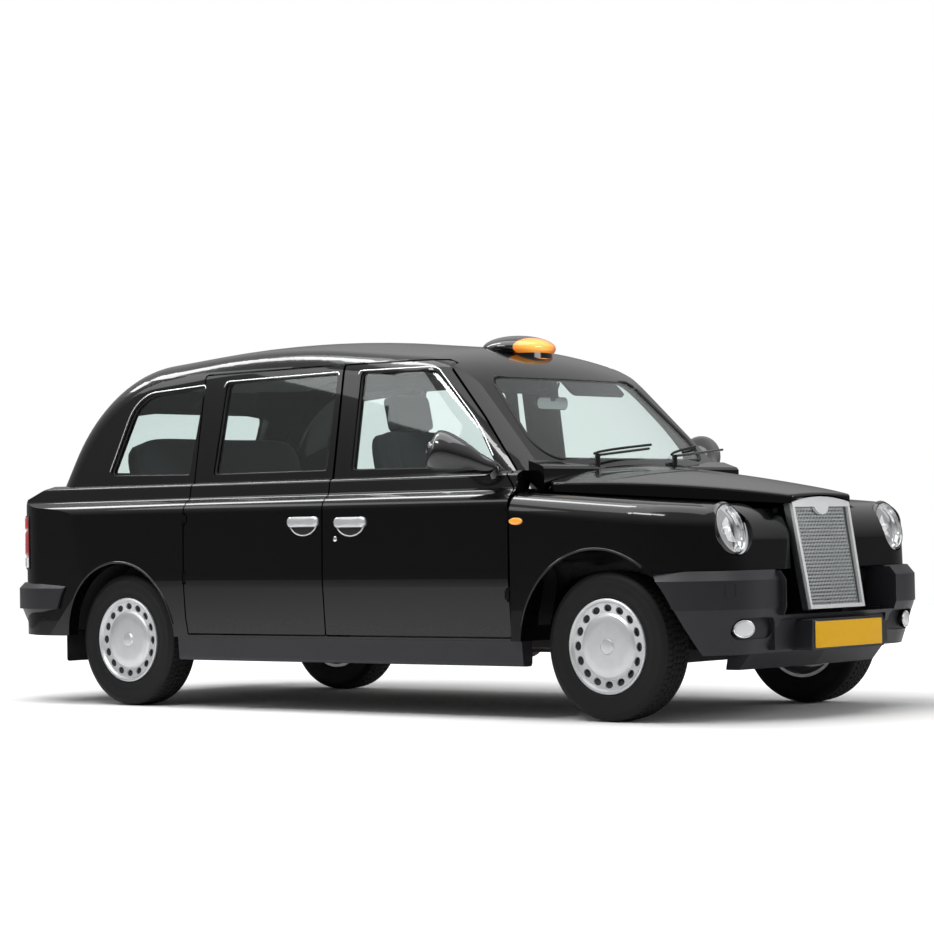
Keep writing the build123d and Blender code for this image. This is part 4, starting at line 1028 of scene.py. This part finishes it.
# how far the backing board stands off, in front and behind
FRONT_BOARD, BOOT_BOARD = 0.002, 0.004
plate_yellow = Finish("plate_yellow", roughness=0.4, specular_ior_level=0.2)
beads = plate_yellow.mix(plate_yellow.noise(30), (0.80, 0.44, 0.006), (0.74, 0.39, 0.005))
plate_yellow.set("Base Color", beads)
plate_yellow.bump(plate_yellow.noise(700, 1), 0.05, 0.0003)


def number_plate(name, place, outward, body, bracket):
    """A blank plate on a dark backing board."""
    seat = seat_at(place, outward)
    edge = (PLATE_HALF_WIDE + BOARD_SHOWS, PLATE_HALF_TALL + BOARD_SHOWS, PLATE_CORNER)
    board = pressed(rounded(*edge), seat, slab(bracket))
    dress(name + "_board", gloss_plastic, "black_plastic", board, body=body)
    seat = (place + outward * bracket, *seat[1:])
    sheet = pressed(rounded(PLATE_HALF_WIDE, PLATE_HALF_TALL, PLATE_CORNER), seat, slab(PLATE_THICK))
    dress(name, plate_yellow, "bright", sheet, body=body)


place = Vector((cad_box[1][0], 0, FRONT_PLATE_Z))
number_plate("front_plate", place, Vector((1, 0, 0)), "cab", FRONT_BOARD)
lid_skin = skin_of("boot_lid")
# a hair beside the middle, where no edge of the mesh lies
BESIDE_MIDDLE = 0.001
place, _ = seen_from(-1, lid_skin, BESIDE_MIDDLE, BOOT_PLATE_Z)
place = Vector((place.x, 0, place.z))
number_plate("rear_plate", place, Vector((-1, 0, 0)), "boot_lid_body", BOOT_BOARD)
print("plates ready")

# %% [markdown]
# ## Grille wires
# The grille's mesh is woven: the CAD has its cross bars, and fine upright wires behind the surround
# finish it. A bump could not be seen through, so each wire is a real bar, cut short under the header's
# shield-shaped dip.

# %% Grille wires
GRILLE_TALL = (GRILLE_HEAD - GRILLE_FOOT).length
WIRE_PITCH, WIRE_HALF, WIRE_DEPTH = 0.0115, 0.00115, 0.0172
WIRES_EACH_SIDE, SURROUND_FOOT = 16, 0.017
HEADER_TALL, SHIELD_HALF, SHIELD_DROP = 0.046, 0.056, 0.036
BAR_FACES = [(0, 1, 5, 4), (1, 2, 6, 5), (2, 3, 7, 6), (3, 0, 4, 7), (0, 3, 2, 1), (4, 5, 6, 7)]
wires = []
for k in range(-WIRES_EACH_SIDE, WIRES_EACH_SIDE + 1):
    u = k * WIRE_PITCH
    drop = SHIELD_DROP * (1 - (u / SHIELD_HALF) ** 2) if abs(u) < SHIELD_HALF else 0
    foot = GRILLE_FOOT + grille_up * SURROUND_FOOT
    head = GRILLE_FOOT + grille_up * (GRILLE_TALL - HEADER_TALL - drop)
    points = []
    for end in (foot, head):
        for du, dn in ((-1, -1), (1, -1), (1, 1), (-1, 1)):
            depth = WIRE_DEPTH + dn * WIRE_HALF
            points.append(end + Vector((0, u + du * WIRE_HALF, 0)) - grille_out * depth)
    wires.append((points, BAR_FACES))
fit(mesh_piece("grille_wires", *wires, merge=1e-7), silver, "cab")
print(len(wires), "wires")

# %% [markdown]
# ## The roof sign
# An amber lens wraps the front of the black pod. It is the pod's own ellipsoid, a hair larger, cut to an
# oval, so that it hugs the pod at its edge.

# %% Sign lens
POD = Vector((0.150, 0.200, 0.062))
# the oval's share of the pod, how flat it is, how proud it stands in the middle
LENS_SHARE, LENS_FLAT, LENS_PROUD = 0.84, 0.94, 1.012


def sign_front(rings=10, steps=48):
    """Rings of points from the oval's middle to its edge, where the lens meets the pod."""
    points, faces = [], []
    for ring in range(rings + 1):
        share = ring / rings * LENS_SHARE
        for k in range(steps):
            angle = 2 * math.pi * k / steps
            v, w = share * math.cos(angle), share * math.sin(angle) * LENS_FLAT
            u = math.sqrt(max(1 - v * v - w * w, 0))
            swell = 1 + (LENS_PROUD - 1) * (1 - (ring / rings) ** 6)
            points.append((SIGN_X + POD.x * u * swell, POD.y * v * swell, SIGN_Z + POD.z * w * swell))
    for ring in range(rings):
        for k in range(steps):
            a, b = ring * steps + k, ring * steps + (k + 1) % steps
            faces.append((a, b, b + steps, a + steps))
    return points, faces


dress("sign_lens", sign_lens, "red_lens", sign_front())
print("sign lens ready")

# %% [markdown]
# ## Strip on the sign's foot
# A second amber strip glows on the oval foot below the pod. It is a channel section swept along the
# foot's front half, with its edges bent in, so that it reads as a moulding and not as paint.

# %% Strip on the sign's foot
FOOT_X, FOOT_HALF_LONG, FOOT_HALF_WIDE = SIGN_X + 0.020, 0.1215, 0.1665
STRIP_LOW, STRIP_HIGH = 1.590, 1.618
STRIP_TURN, STRIP_STEPS = 156, 32
strip = [(0.0015, STRIP_LOW), (0.004, STRIP_LOW + 0.004), (0.004, STRIP_HIGH - 0.004), (0.0015, STRIP_HIGH)]
points, faces = [], []
for k in range(STRIP_STEPS + 1):
    angle = math.radians(-STRIP_TURN / 2 + STRIP_TURN * k / STRIP_STEPS)
    for out, z in strip:
        x, y = (FOOT_HALF_LONG + out) * math.cos(angle), (FOOT_HALF_WIDE + out) * math.sin(angle)
        points.append((FOOT_X + x, y, z))
for k in range(STRIP_STEPS):
    faces += [(4 * k + i, 4 * k + i + 4, 4 * k + i + 5, 4 * k + i + 1) for i in range(3)]
dress("sign_strip", amber_lens, "red_lens", (points, faces))
print("sign strip ready")

# %% [markdown]
# ## Wiper blades
# Each wiper's blade is a rubber edge in a slim holder that lies on the screen. Its points are found with
# rays from ahead, so that the blade follows the glass's curve.

# %% Wiper blades
screen_skin = skin_of("windscreen")
BLADES = (("near", -0.300, 0.175), ("far", 0.280, 0.620))
BLADE_LOW, BLADE_HIGH, BLADE_STEPS, BLADE_RADIUS = 1.150, 1.196, 12, 0.006
BLADE_OFF = Vector((0.012, 0, 0.004))
for name, start, end in BLADES:
    points = []
    for k in range(BLADE_STEPS + 1):
        share = k / BLADE_STEPS
        rise = (BLADE_HIGH - BLADE_LOW) * share ** 0.7
        origin = Vector((AHEAD, start + (end - start) * share, BLADE_LOW + rise))
        place = screen_skin.ray_cast(origin, Vector((-1, 0, 0)))[0]
        if place:
            points.append(place + BLADE_OFF)
    fit(tube(name + "_wiper_blade", points, BLADE_RADIUS), seal_rubber, "cab")
print("blades ready")

# %% [markdown]
# ## Mirror glasses
# A door mirror's housing ends in a flat cut. The mirror glass repeats that cut, a little smaller, so it
# is read from the CAD mesh: the ring of its rearmost points.

# %% Mirror glasses
mirror_glass = metal("mirror_glass", (0.75, 0.78, 0.80), 0.02, 0.01)
GLASS_SHARE = 0.86
MIRROR_LEVELS = ((GLASS_SHARE, -0.001), (GLASS_SHARE, -0.0035), (GLASS_SHARE * 0.985, -0.0045))
for side in SIDES:
    cut = places_of(side + "_mirror")
    rear = min(p.x for p in cut)
    ring = [place for u, v, place in hull([(p.y, p.z, p) for p in cut if p.x < rear + 0.0005])]
    middle = sum(ring, Vector()) / len(ring)
    outline = [((p.y - middle.y), (p.z - middle.z)) for p in ring]
    face = pressed(outline, (middle, (0, 1, 0), (0, 0, 1)), MIRROR_LEVELS)
    dress(side + "_mirror_glass", mirror_glass, "bright", face, body=f"{side}_front_door_body")
print("mirror glasses ready")

# %% [markdown]
# ## Inside mirror
# The inside mirror hangs from the header on a thin bent stem. Its shell is pressed deep and round, and
# its glass is a flat pressing just proud of the shell's mouth.

# %% Inside mirror
INSIDE_MIRROR = Vector((0.690, 0, 1.405))
SHELL, FACE = (0.118, 0.030, 0.026), (0.113, 0.0265, 0.024)
SHELL_LEVELS = ((0.97, -0.004), (1, 0), (0.99, 0.008), (0.9, 0.018), (0.5, 0.024))
STEM = (INSIDE_MIRROR + Vector((0.012, 0, 0.01)), (0.715, 0, 1.450), (0.735, 0, 1.500))
STEM_RADIUS = 0.006
seat = (INSIDE_MIRROR, (0, -1, 0), (0.1, 0, 0.995))
shell = pressed(rounded(*SHELL), seat, SHELL_LEVELS)
dress("inside_mirror", gloss_plastic, "black_plastic", shell)
face = pressed(rounded(*FACE), seat, ((1, -0.0045), (0.99, -0.0055)))
dress("inside_mirror_glass", mirror_glass, "bright", face)
fit(tube("inside_mirror_stem", STEM, STEM_RADIUS), gloss_plastic, "cab")
print("inside mirror ready")

# %% [markdown]
# ## Sun visors
# Two padded boards fold up behind the screen's header. A pressed slab that leans with the screen is
# enough, as only their lower edges show through the glass.

# %% Sun visors
VISOR_TOP, VISOR_LEAN = Vector((0.700, 0.290, 1.500)), (-0.72, 0, 0.69)
# half width, half height, corner
VISOR_SIZE, VISOR_THICK = (0.200, 0.072, 0.025), 0.014
for side, sign in SIDES.items():
    seat = ((VISOR_TOP.x, sign * VISOR_TOP.y, VISOR_TOP.z), (0, -1, 0), VISOR_LEAN)
    visor = pressed(rounded(*VISOR_SIZE), seat, slab(VISOR_THICK))
    dress(f"{side}_sun_visor", cabin_plastic, "cabin_plastic", visor)
print("sun visors ready")

# %% [markdown]
# ## Seats
# A stuffed cushion is fuller in the middle than at its seams, and its sides pull in between the corners.
# Each pad starts as a finely divided cube. Rounding it with a power norm gives the soft block, its broad
# faces are crowned, and sewn channels press narrow valleys into them. A bead of piping runs round the edge.

# %% Stuffed pads
PAD_DIVISIONS, PAD_POWER, PAD_WAIST = 26, 7.0, 0.05
VALLEY_DEPTH, VALLEY_WIDTH = 0.006, 0.008
PIPING_LEVEL, PIPING_RADIUS = 0.72, 0.0035


def pad_point(cube, half, crown_height, waist, channels):
    """Moves one point of the unit cube to its place on the pad; the pad's broad faces look along z."""
    size = sum(abs(c) ** PAD_POWER for c in cube) ** (1 / PAD_POWER)
    x, y, z = (c / size for c in cube)
    bulge = (1 - x * x) * (1 - y * y)
    pull_x = 1 - waist * (1 - y * y) * (1 - z * z) * abs(x)
    pull_y = 1 - waist * (1 - x * x) * (1 - z * z) * abs(y)
    height = half[2] * z + crown_height * bulge * z
    for place in channels:
        valley = math.copysign(VALLEY_DEPTH, z) * math.exp(-(((y * half[1] - place) / VALLEY_WIDTH) ** 2))
        height -= valley * min(abs(z), 1) * bulge ** 0.3
    return Vector((half[0] * x * pull_x, half[1] * y * pull_y, height))


def pad_form(half, place, turn, crown_height, waist, channels=()):
    """The six sides of a divided cube, each point moved to its place on the pad."""
    points, faces = [], []
    n = PAD_DIVISIONS
    for axis in range(3):
        for face_sign in (-1, 1):
            start = len(points)
            for i in range(n + 1):
                for j in range(n + 1):
                    cube = [0.0, 0.0, 0.0]
                    cube[axis] = face_sign
                    cube[(axis + 1) % 3], cube[(axis + 2) % 3] = 2 * i / n - 1, 2 * j / n - 1
                    point = pad_point(cube, half, crown_height, waist, channels)
                    points.append(turn @ point + Vector(place))
            for i in range(n):
                for j in range(n):
                    a = start + i * (n + 1) + j
                    faces.append((a, a + 1, a + n + 2, a + n + 1))
    return points, faces


def piping(half, place, turn, level, steps=72):
    """The ring where the crowned face meets the sides."""
    ring = []
    for k in range(steps):
        angle = 2 * math.pi * k / steps
        c, s = math.cos(angle), math.sin(angle)
        cube = (c / max(abs(c), abs(s)), s / max(abs(c), abs(s)), level)
        ring.append(turn @ pad_point(cube, half, 0, PAD_WAIST, ()) + Vector(place))
    return ring


def lean(degrees):
    return Matrix.Rotation(math.radians(degrees), 3, "Y")


SEAT_Y = -0.370
FLAT = lean(0)
# piece, CAD node, half sizes (along, across, thick), place, lean, crown, channels
PADS = (
    ("driver_cushion", "driver_seat", (0.255, 0.250, 0.070), (0.464, SEAT_Y, 0.645), 0, 0.012, (-0.16, 0.16)),
    ("driver_back", "driver_seat", (0.320, 0.245, 0.052), (0.194, SEAT_Y, 0.975), -102, 0.012, (-0.15, 0.15)),
    ("driver_headrest", "driver_seat", (0.085, 0.130, 0.038), (0.129, SEAT_Y, 1.370), -102, 0.006, ()),
    ("rear_cushion", "rear_seat", (0.266, 0.583, 0.122), (-1.143, 0, 0.617), 0, 0.012, (-0.2, 0.2)),
    ("rear_back", "rear_seat", (0.328, 0.583, 0.072), (-1.471, 0, 0.992), -104, 0.012, (-0.2, 0.2)),
    ("right_tip_seat", "tip_seats", (0.208, 0.198, 0.028), (-0.0965, -0.300, 0.795), -90, 0.003, (0,)),
    ("left_tip_seat", "tip_seats", (0.208, 0.198, 0.028), (-0.0965, 0.300, 0.795), -90, 0.003, (0,)),
)
for name, node, half, place, degrees, crown_height, channels in PADS:
    turn_by = lean(degrees)
    form = pad_form(half, place, turn_by, crown_height, PAD_WAIST, channels)
    pad = dress(name, seat_cloth, "seat", form, crease=60)
    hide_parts(node)
    if node != "tip_seats":
        welt = tube(name + "_piping", piping(half, place, turn_by, PIPING_LEVEL), PIPING_RADIUS, True)
        fit(welt, seal_rubber, "cab")
print(len(PADS), "pads")

# %% [markdown]
# ## Seat base and headrest posts
# The driver's seat stands on a moulded box, and its headrest on two bright posts. The box is a pressing
# as well, an outline lifted straight up with a small bevel at the top.


# %% Seat base and posts
def boxed(low, high, corner):
    """An upright box with rounded vertical edges and a small bevel at the top."""
    middle = [(a + b) / 2 for a, b in zip(low, high)]
    outline = rounded((high[0] - low[0]) / 2, (high[1] - low[1]) / 2, corner)
    tall = high[2] - low[2]
    levels = ((1, 0), (1, tall - 0.006), (0.985, tall))
    return pressed(outline, ((middle[0], middle[1], low[2]), (1, 0, 0), (0, 1, 0)), levels)


BASE_HALF_WIDE, BASE_CORNER = 0.200, 0.03
POST_ASIDE, POST_RADIUS = 0.060, 0.006
low, high = (0.260, SEAT_Y - BASE_HALF_WIDE, 0.3855), (0.668, SEAT_Y + BASE_HALF_WIDE, 0.590)
dress("driver_seat_base", cabin_plastic, "cabin_plastic", boxed(low, high, BASE_CORNER))
for number, y in enumerate((SEAT_Y - POST_ASIDE, SEAT_Y + POST_ASIDE)):
    post = tube(f"headrest_post_{number}", [(0.157, y, 1.235), (0.136, y, 1.340)], POST_RADIUS)
    fit(post, chrome, "cab")
print("seats ready")

# %% [markdown]
# ## Roof lining
# A pale moulded lining covers the roof from inside. It is a grid of points that rays drop onto the inner
# face of the roof. The same grid serves for the door cards further down.

# %% Sheets laid on inner faces
lining_plastic = grained("roof_lining_plastic", (0.20, 0.205, 0.20), (0.25, 0.255, 0.25), 0.7, 1500, 0.05)
# a square that spans more than this bridges a gap, so it is left out
LONGEST_SQUARE = 0.16


def laid_grid(name, skin, starts, direction, stand_off):
    """A grid of rays in one direction; squares with a missing corner are left out."""
    places = [[skin.ray_cast(start, direction)[0] for start in row] for row in starts]
    points, index, faces = [], {}, []
    for i, row in enumerate(places):
        for j, place in enumerate(row):
            if place:
                index[i, j] = len(points)
                points.append(place - direction * stand_off)
    for i in range(len(places) - 1):
        for j in range(len(places[0]) - 1):
            square = [(i, j), (i + 1, j), (i + 1, j + 1), (i, j + 1)]
            if all(key in index for key in square):
                ends = [points[index[key]] for key in square]
                if max((a - b).length for a in ends for b in ends) < LONGEST_SQUARE:
                    faces.append(tuple(index[key] for key in square))
    return mesh_piece(name, (points, faces))


def spread(low, high, steps):
    return [low + (high - low) * k / steps for k in range(steps + 1)]


LINING_FROM, LINING_OFF, LINING_HALF, LINING_ENDS = 1.30, 0.006, 0.56, (-1.62, 0.56)
lining_across, lining_along = spread(-LINING_HALF, LINING_HALF, 24), spread(*LINING_ENDS, 48)
roof_starts = [[Vector((x, y, LINING_FROM)) for y in lining_across] for x in lining_along]
roof_lining = laid_grid("roof_lining", skin_of("roof"), roof_starts, Vector((0, 0, 1)), LINING_OFF)
fit(roof_lining, lining_plastic, "cab")
print("roof lining of", len(roof_lining.data.polygons), "squares")

# %% [markdown]
# ## Door cards
# Each door wears a dark card with a padded armrest and a bright pull, and all three ride on the door. The
# card is laid on the door's inner face; one more ray finds the wall that the armrest is fixed to.

# %% Door cards
# end, x of the card's two edges, the armrest's share of the way between them
CARDS = (("front", 0.10, 1.04, 0.45), ("rear", -0.79, -0.02, 0.62))
CARD_LOW, CARD_HIGH, CARD_OFF = 0.415, 1.015, 0.004
CABIN_HALF, ARMREST_Z, ARMREST_OFF, PULL_ABOVE = 0.60, 0.80, 0.023, 0.10
# half sizes of the armrest; half width, half height, corner and rise of the pull
ARMREST, PULL, PULL_RISE = (0.150, 0.020, 0.022), (0.045, 0.014, 0.012), 0.012
card_rises = spread(CARD_LOW, CARD_HIGH, 16)
for side, sign in SIDES.items():
    for end, x_low, x_high, armrest_share in CARDS:
        name, body = f"{side}_{end}", f"{side}_{end}_door_body"
        skin, outward = skin_of(f"{side}_{end}_door"), Vector((0, sign, 0))
        runs = spread(x_low, x_high, 24)
        starts = [[Vector((x, sign * CABIN_HALF, z)) for z in card_rises] for x in runs]
        card = laid_grid(name + "_door_card", skin, starts, outward, CARD_OFF)
        fit(card, cabin_plastic, body)
        middle = x_low + (x_high - x_low) * armrest_share
        wall = skin.ray_cast(Vector((middle, sign * CABIN_HALF, ARMREST_Z)), outward)[0]
        rest_place = (middle, wall.y - sign * ARMREST_OFF, ARMREST_Z)
        rest = pad_form(ARMREST, rest_place, FLAT, 0.002, 0.02)
        dress(name + "_armrest", cabin_plastic, "cabin_plastic", rest, body=body, crease=60)
        pull_seat = seat_at(wall + Vector((0, -sign * CARD_OFF, PULL_ABOVE)), -outward)
        pull = pressed(rounded(*PULL), pull_seat, domed(PULL_RISE))
        dress(name + "_inner_pull", chrome, "bright", pull, body=body)
print("door cards ready")

# %% [markdown]
# ## Tail pipe
# The exhaust leaves its silencer, climbs over the rear axle and drops out beside the tank. Its points
# steer a smooth curve with a round bevel, which bends like a real pipe; joined cylinders would kink.

# %% Tail pipe
PIPE = (
    *((-0.150, 0.190, 0.262), (-0.75, 0.195, 0.268), (-1.02, 0.215, 0.335)),
    *((-1.20, 0.225, 0.422), (-1.42, 0.235, 0.422), (-1.50, 0.30, 0.36)),
    *((-1.56, 0.385, 0.315), (-1.75, 0.40, 0.305), (-2.215, 0.40, 0.300)),
)
PIPE_RADIUS = 0.021
pipe_curve = tube("tail_pipe", PIPE, PIPE_RADIUS)
run = pipe_curve.data.splines[0]
run.type = "NURBS"
run.order_u = 4
run.use_endpoint_u = True
run.resolution_u = 8
pipe_curve.data.use_fill_caps = False
fit(pipe_curve, dull_steel, "cab")
print("pipe of", len(PIPE), "points")

# %% [markdown]
# ## Mud flaps
# Flaps of rubber behind the rear wheels stop the spray. They hang flat, so a pressed slab is their form.

# %% Mud flaps
FLAP_PLACE, FLAP_THICK = (-1.716, 0.755, 0.300), 0.006
# half width, half height, corner
FLAP_SIZE = (0.105, 0.088, 0.012)
for side, sign in SIDES.items():
    seat = ((FLAP_PLACE[0], sign * FLAP_PLACE[1], FLAP_PLACE[2]), (0, -1, 0), (0, 0, 1))
    flap = pressed(rounded(*FLAP_SIZE), seat, slab(FLAP_THICK))
    dress(f"{side}_mud_flap", seal_rubber, "black_plastic", flap)
print("mud flaps ready")

# %% [markdown]
# ## Tail lamps
# The rear lamps wrap round the body's corners, so a little red shows from the side as well. Rays shot at
# the corner from a ring of directions lay the lens on it; a dark frame closes its edge.

# %% Wrapped tail lenses
CORNER, CORNER_REACH = Vector((-1.88, 0.56, 0)), 1.2
LENS_LOW, LENS_HIGH, LENS_FIRST, LENS_LAST = 0.672, 0.932, 27, 66
UPPER_FROM, CLEAR_BELOW = 0.862, 0.728
LENS_TURNS, LENS_RISES, LENS_EDGE_OUT, LENS_OUT = 14, 8, 0.001, 0.0085
FRAME_OUT, FRAME_RADIUS = 0.002, 0.004


def corner_point(side, degrees, z, out):
    sign = SIDES[side]
    ray = Vector((-math.cos(math.radians(degrees)), sign * math.sin(math.radians(degrees)), 0))
    start = Vector((CORNER.x, sign * CORNER.y, z)) + ray * CORNER_REACH
    place = corner_skin[side].ray_cast(start, -ray)[0]
    return place + ray * out


def corner_lens(side, z_low, z_high):
    """A swelling sheet on the corner between two heights."""
    turns, rises = spread(LENS_FIRST, LENS_LAST, LENS_TURNS), spread(z_low, z_high, LENS_RISES)
    points, faces = [], []
    for i, degrees in enumerate(turns):
        for j, z in enumerate(rises):
            rim = i in (0, LENS_TURNS) or j in (0, LENS_RISES)
            points.append(corner_point(side, degrees, z, LENS_EDGE_OUT if rim else LENS_OUT))
    row = LENS_RISES + 1
    for i in range(LENS_TURNS):
        for j in range(LENS_RISES):
            a = i * row + j
            faces.append((a, a + 1, a + row + 1, a + row))
    return points, faces


corner_skin = {side: skin_of(side + "_body_side", "tail_panel", "tail_lamps") for side in SIDES}
BANDS = (
    ("tail_clear", LENS_LOW, CLEAR_BELOW, clear_lens),
    ("tail_red", CLEAR_BELOW, UPPER_FROM, red_lens),
    ("tail_upper", UPPER_FROM, LENS_HIGH, red_lens),
)
turns, rises = spread(LENS_FIRST, LENS_LAST, LENS_TURNS), spread(LENS_LOW, LENS_HIGH, LENS_RISES)
# back the other way, so that the ring closes
turns_back, rises_back = spread(LENS_LAST, LENS_FIRST, LENS_TURNS), spread(LENS_HIGH, LENS_LOW, LENS_RISES)
frame_ring = [(degrees, LENS_LOW) for degrees in turns] + [(LENS_LAST, z) for z in rises]
frame_ring += [(degrees, LENS_HIGH) for degrees in turns_back] + [(LENS_FIRST, z) for z in rises_back]
for side in SIDES:
    for name, low, high, finish in BANDS:
        dress(f"{side}_{name}", finish, "red_lens", corner_lens(side, low, high), crease=60)
    ring = [corner_point(side, degrees, z, FRAME_OUT) for degrees, z in frame_ring]
    fit(tube(f"{side}_tail_frame", ring, FRAME_RADIUS, True), seal_rubber, "cab")
print("tail lamps ready")

# %% [markdown]
# ## Towing-eye cap
# A small cap in the front bumper covers the towing eye. Only its gap shows, so a thin dark ring on the
# bumper's surface draws it.

# %% Towing eye cap
bumper_skin = skin_of("front_bumper")
CAP_Y, CAP_Z, CAP_OUTLINE, CAP_GAP = -0.720, 0.552, (0.024, 0.030, 0.012), 0.0012
place, across, tall = seat_at(*seen_from(1, bumper_skin, CAP_Y, CAP_Z))
ring = [place + across * u + tall * v for u, v in rounded(*CAP_OUTLINE)]
fit(tube("towing_eye_cap", ring, CAP_GAP, True), seal_rubber, "cab")
print("cap ready")

# %% [markdown]
# ## Aprons beside the grille
# Sheet metal closes the nose between the grille and each wing, behind the bumper. Without it, daylight
# would show beside the grille. A flat pressed sheet is enough, as only a dark strip of it is seen.

# %% Aprons beside the grille
APRON_X, APRON_THICK, APRON_CORNER = 2.082, 0.006, 0.01
APRON_IN, APRON_OUT, APRON_LOW, APRON_HIGH = 0.240, 0.660, 0.400, 0.660
apron_y, apron_z = (APRON_IN + APRON_OUT) / 2, (APRON_LOW + APRON_HIGH) / 2
outline = rounded((APRON_OUT - APRON_IN) / 2, (APRON_HIGH - APRON_LOW) / 2, APRON_CORNER)
for side, sign in SIDES.items():
    seat = ((APRON_X - APRON_THICK, sign * apron_y, apron_z), (0, 1, 0), (0, 0, 1))
    dress(f"{side}_apron", chassis_black, "paint", pressed(outline, seat, slab(APRON_THICK)))
print("aprons ready")

# %% [markdown]
# ## Closed bumper ends
# The bumper's blocks beside the number plate are hollow mouldings, and their inner ends are closed. Each
# end is the block's own outline, drawn and given the wall's thickness.

# %% Closed inner ends of the bumper blocks
BLOCK_END_Y, END_THICK = 0.4290, 0.003
BLOCK_END = ((2.236, 0.630), (2.266, 0.594), (2.266, 0.478), (2.252, 0.4425), (2.110, 0.4425), (2.110, 0.630))
for side, sign in SIDES.items():
    points = [(x, sign * (BLOCK_END_Y + out), z) for out in (0, END_THICK) for x, z in BLOCK_END]
    count = len(BLOCK_END)
    faces = [tuple(range(count)), tuple(range(2 * count - 1, count - 1, -1))]
    faces += [(k, (k + 1) % count, (k + 1) % count + count, k + count) for k in range(count)]
    dress(f"{side}_block_end", bumper_plastic, "dark_trim", (points, faces))
print("bumper ends ready")

# %% [markdown]
# ## Boot handle
# The boot has a chrome handle bar over the plate. It is seated on the lid by a ray and rides on the lid.

# %% Boot handle
HANDLE_Z, HANDLE_BAR, BAR_RISE = 0.880, (0.170, 0.017, 0.014), 0.022
place, _ = seen_from(-1, lid_skin, BESIDE_MIDDLE, HANDLE_Z)
seat = (Vector((place.x, 0, place.z)), (0, -1, 0), (0, 0, 1))
bar = pressed(rounded(*HANDLE_BAR), seat, domed(BAR_RISE))
dress("boot_handle", chrome, "bright", bar, body="boot_lid_body")
print("boot handle ready")

# %% [markdown]
# ## Floor
# The cab stands on white paper. The floor is plain diffuse paint by the cab, which keeps its shadow, and
# it turns into an even white glow further out, so that no edge shows.

# %% Floor
FLOOR_HALF, BESIDE_CAB = 14.0, 0.95
# how much of the floor's glow polished surfaces see
FLOOR_GLOSS = 0.06
floor_corners = [(x * FLOOR_HALF, y * FLOOR_HALF, 0) for x, y in ((-1, -1), (1, -1), (1, 1), (-1, 1))]
floor = mesh_piece("floor", (floor_corners, [(0, 1, 2, 3)]))
floor_finish = Finish("studio_floor", roughness=0.9, specular_ior_level=0.0, base_color=(0.80, 0.80, 0.80))
along, across, tall = floor_finish.axes()
out_x = (along.math("ABSOLUTE") - cad_box[1][0]).math("MAXIMUM", 0)
out_y = (across.math("ABSOLUTE") - BESIDE_CAB).math("MAXIMUM", 0)
away = (out_x ** 2 + out_y ** 2) ** 0.5
floor_finish.set("Emission Color", (1, 1, 1))
seen = floor_finish.add("ShaderNodeLightPath", output="Is Camera Ray")
through = floor_finish.add("ShaderNodeLightPath", output="Is Transmission Ray")
shown = seen.math("MAXIMUM", through) * (1 - FLOOR_GLOSS) + FLOOR_GLOSS
# the glow sets in beside the cab and is full six metres away
glow = away.fade(0.1, 1.6) * 0.45 + away.fade(2.0, 6.0) * 0.5
floor_finish.set("Emission Strength", glow * shown)
floor.data.materials.append(floor_finish.material)
print("floor ready")

# %% [markdown]
# ## World
# A white surround with no picture in it. The lens sees it as pure white, and so does whatever looks
# through glass. Polished surfaces see a weaker white, weakest near the horizon, as in a studio with dark
# walls, so that black lacquer stays black.

# %% World
HORIZON_GLOSS, SKY_GLOSS, DIFFUSE_LIGHT = 0.14, 0.75, 0.46
world = bpy.data.worlds.new("studio")
bpy.context.scene.world = world
world.use_nodes = True
world.node_tree.nodes.clear()
surround = NodeTree(world.node_tree)
RAYS = ("Is Camera Ray", "Is Glossy Ray", "Is Transmission Ray")
paths = {name: surround.add("ShaderNodeLightPath", output=name) for name in RAYS}
direction = surround.add("ShaderNodeTexCoord", output="Generated")
rise = surround.part(direction, 2).fade(0.05, 0.6)
mirrored = paths["Is Glossy Ray"] * (rise * (SKY_GLOSS - HORIZON_GLOSS) + HORIZON_GLOSS)
seen = paths["Is Camera Ray"].math("MAXIMUM", paths["Is Transmission Ray"])
plain = (1 - seen.math("MAXIMUM", paths["Is Glossy Ray"])) * DIFFUSE_LIGHT
light = surround.add("ShaderNodeBackground", inputs={"Color": (1, 1, 1), "Strength": seen + mirrored + plain})
world_output = surround.tree.nodes.new("ShaderNodeOutputWorld")
surround.feed(world_output.inputs["Surface"], light)
print("world ready")

# %% [markdown]
# ## Lamps
# One wide lamp overhead lights the floor and the bonnet. Long narrow ones behind and beside the cab draw
# the bright lines along the roof's edge, the pillars and the shoulder, which give black paint its shape.


# %% Lamps
def soft_lamp(name, place, target, size, watts):
    data = bpy.data.lights.new(name, "AREA")
    data.shape = "RECTANGLE"
    data.size, data.size_y = size
    data.energy = watts
    lamp = bpy.data.objects.new(name, data)
    lamp.location = place
    lamp.rotation_mode = "QUATERNION"
    lamp.rotation_quaternion = (Vector(target) - Vector(place)).to_track_quat("-Z", "Y")
    bpy.context.scene.collection.objects.link(lamp)
    return lamp


# name, place, target, size, watts
soft_lamp("overhead", (0.3, -0.6, 5.2), (0, 0, 0.8), (7.5, 4.5), 250)
soft_lamp("roof_edge", (-2.6, -1.0, 4.6), (-0.3, -0.6, 1.6), (0.7, 4.5), 120)
soft_lamp("pillar_edge", (0.7, -3.5, 4.2), (0.9, -0.7, 1.3), (2.5, 0.5), 80)
soft_lamp("shoulder", (-2.9, -3.5, 3.2), (0, -0.85, 1.05), (3.0, 1.0), 26)
soft_lamp("front_left", (7.5, 4.5, 3.2), (1.5, 0.3, 0.8), (3, 2.5), 110)
print("lamps ready")
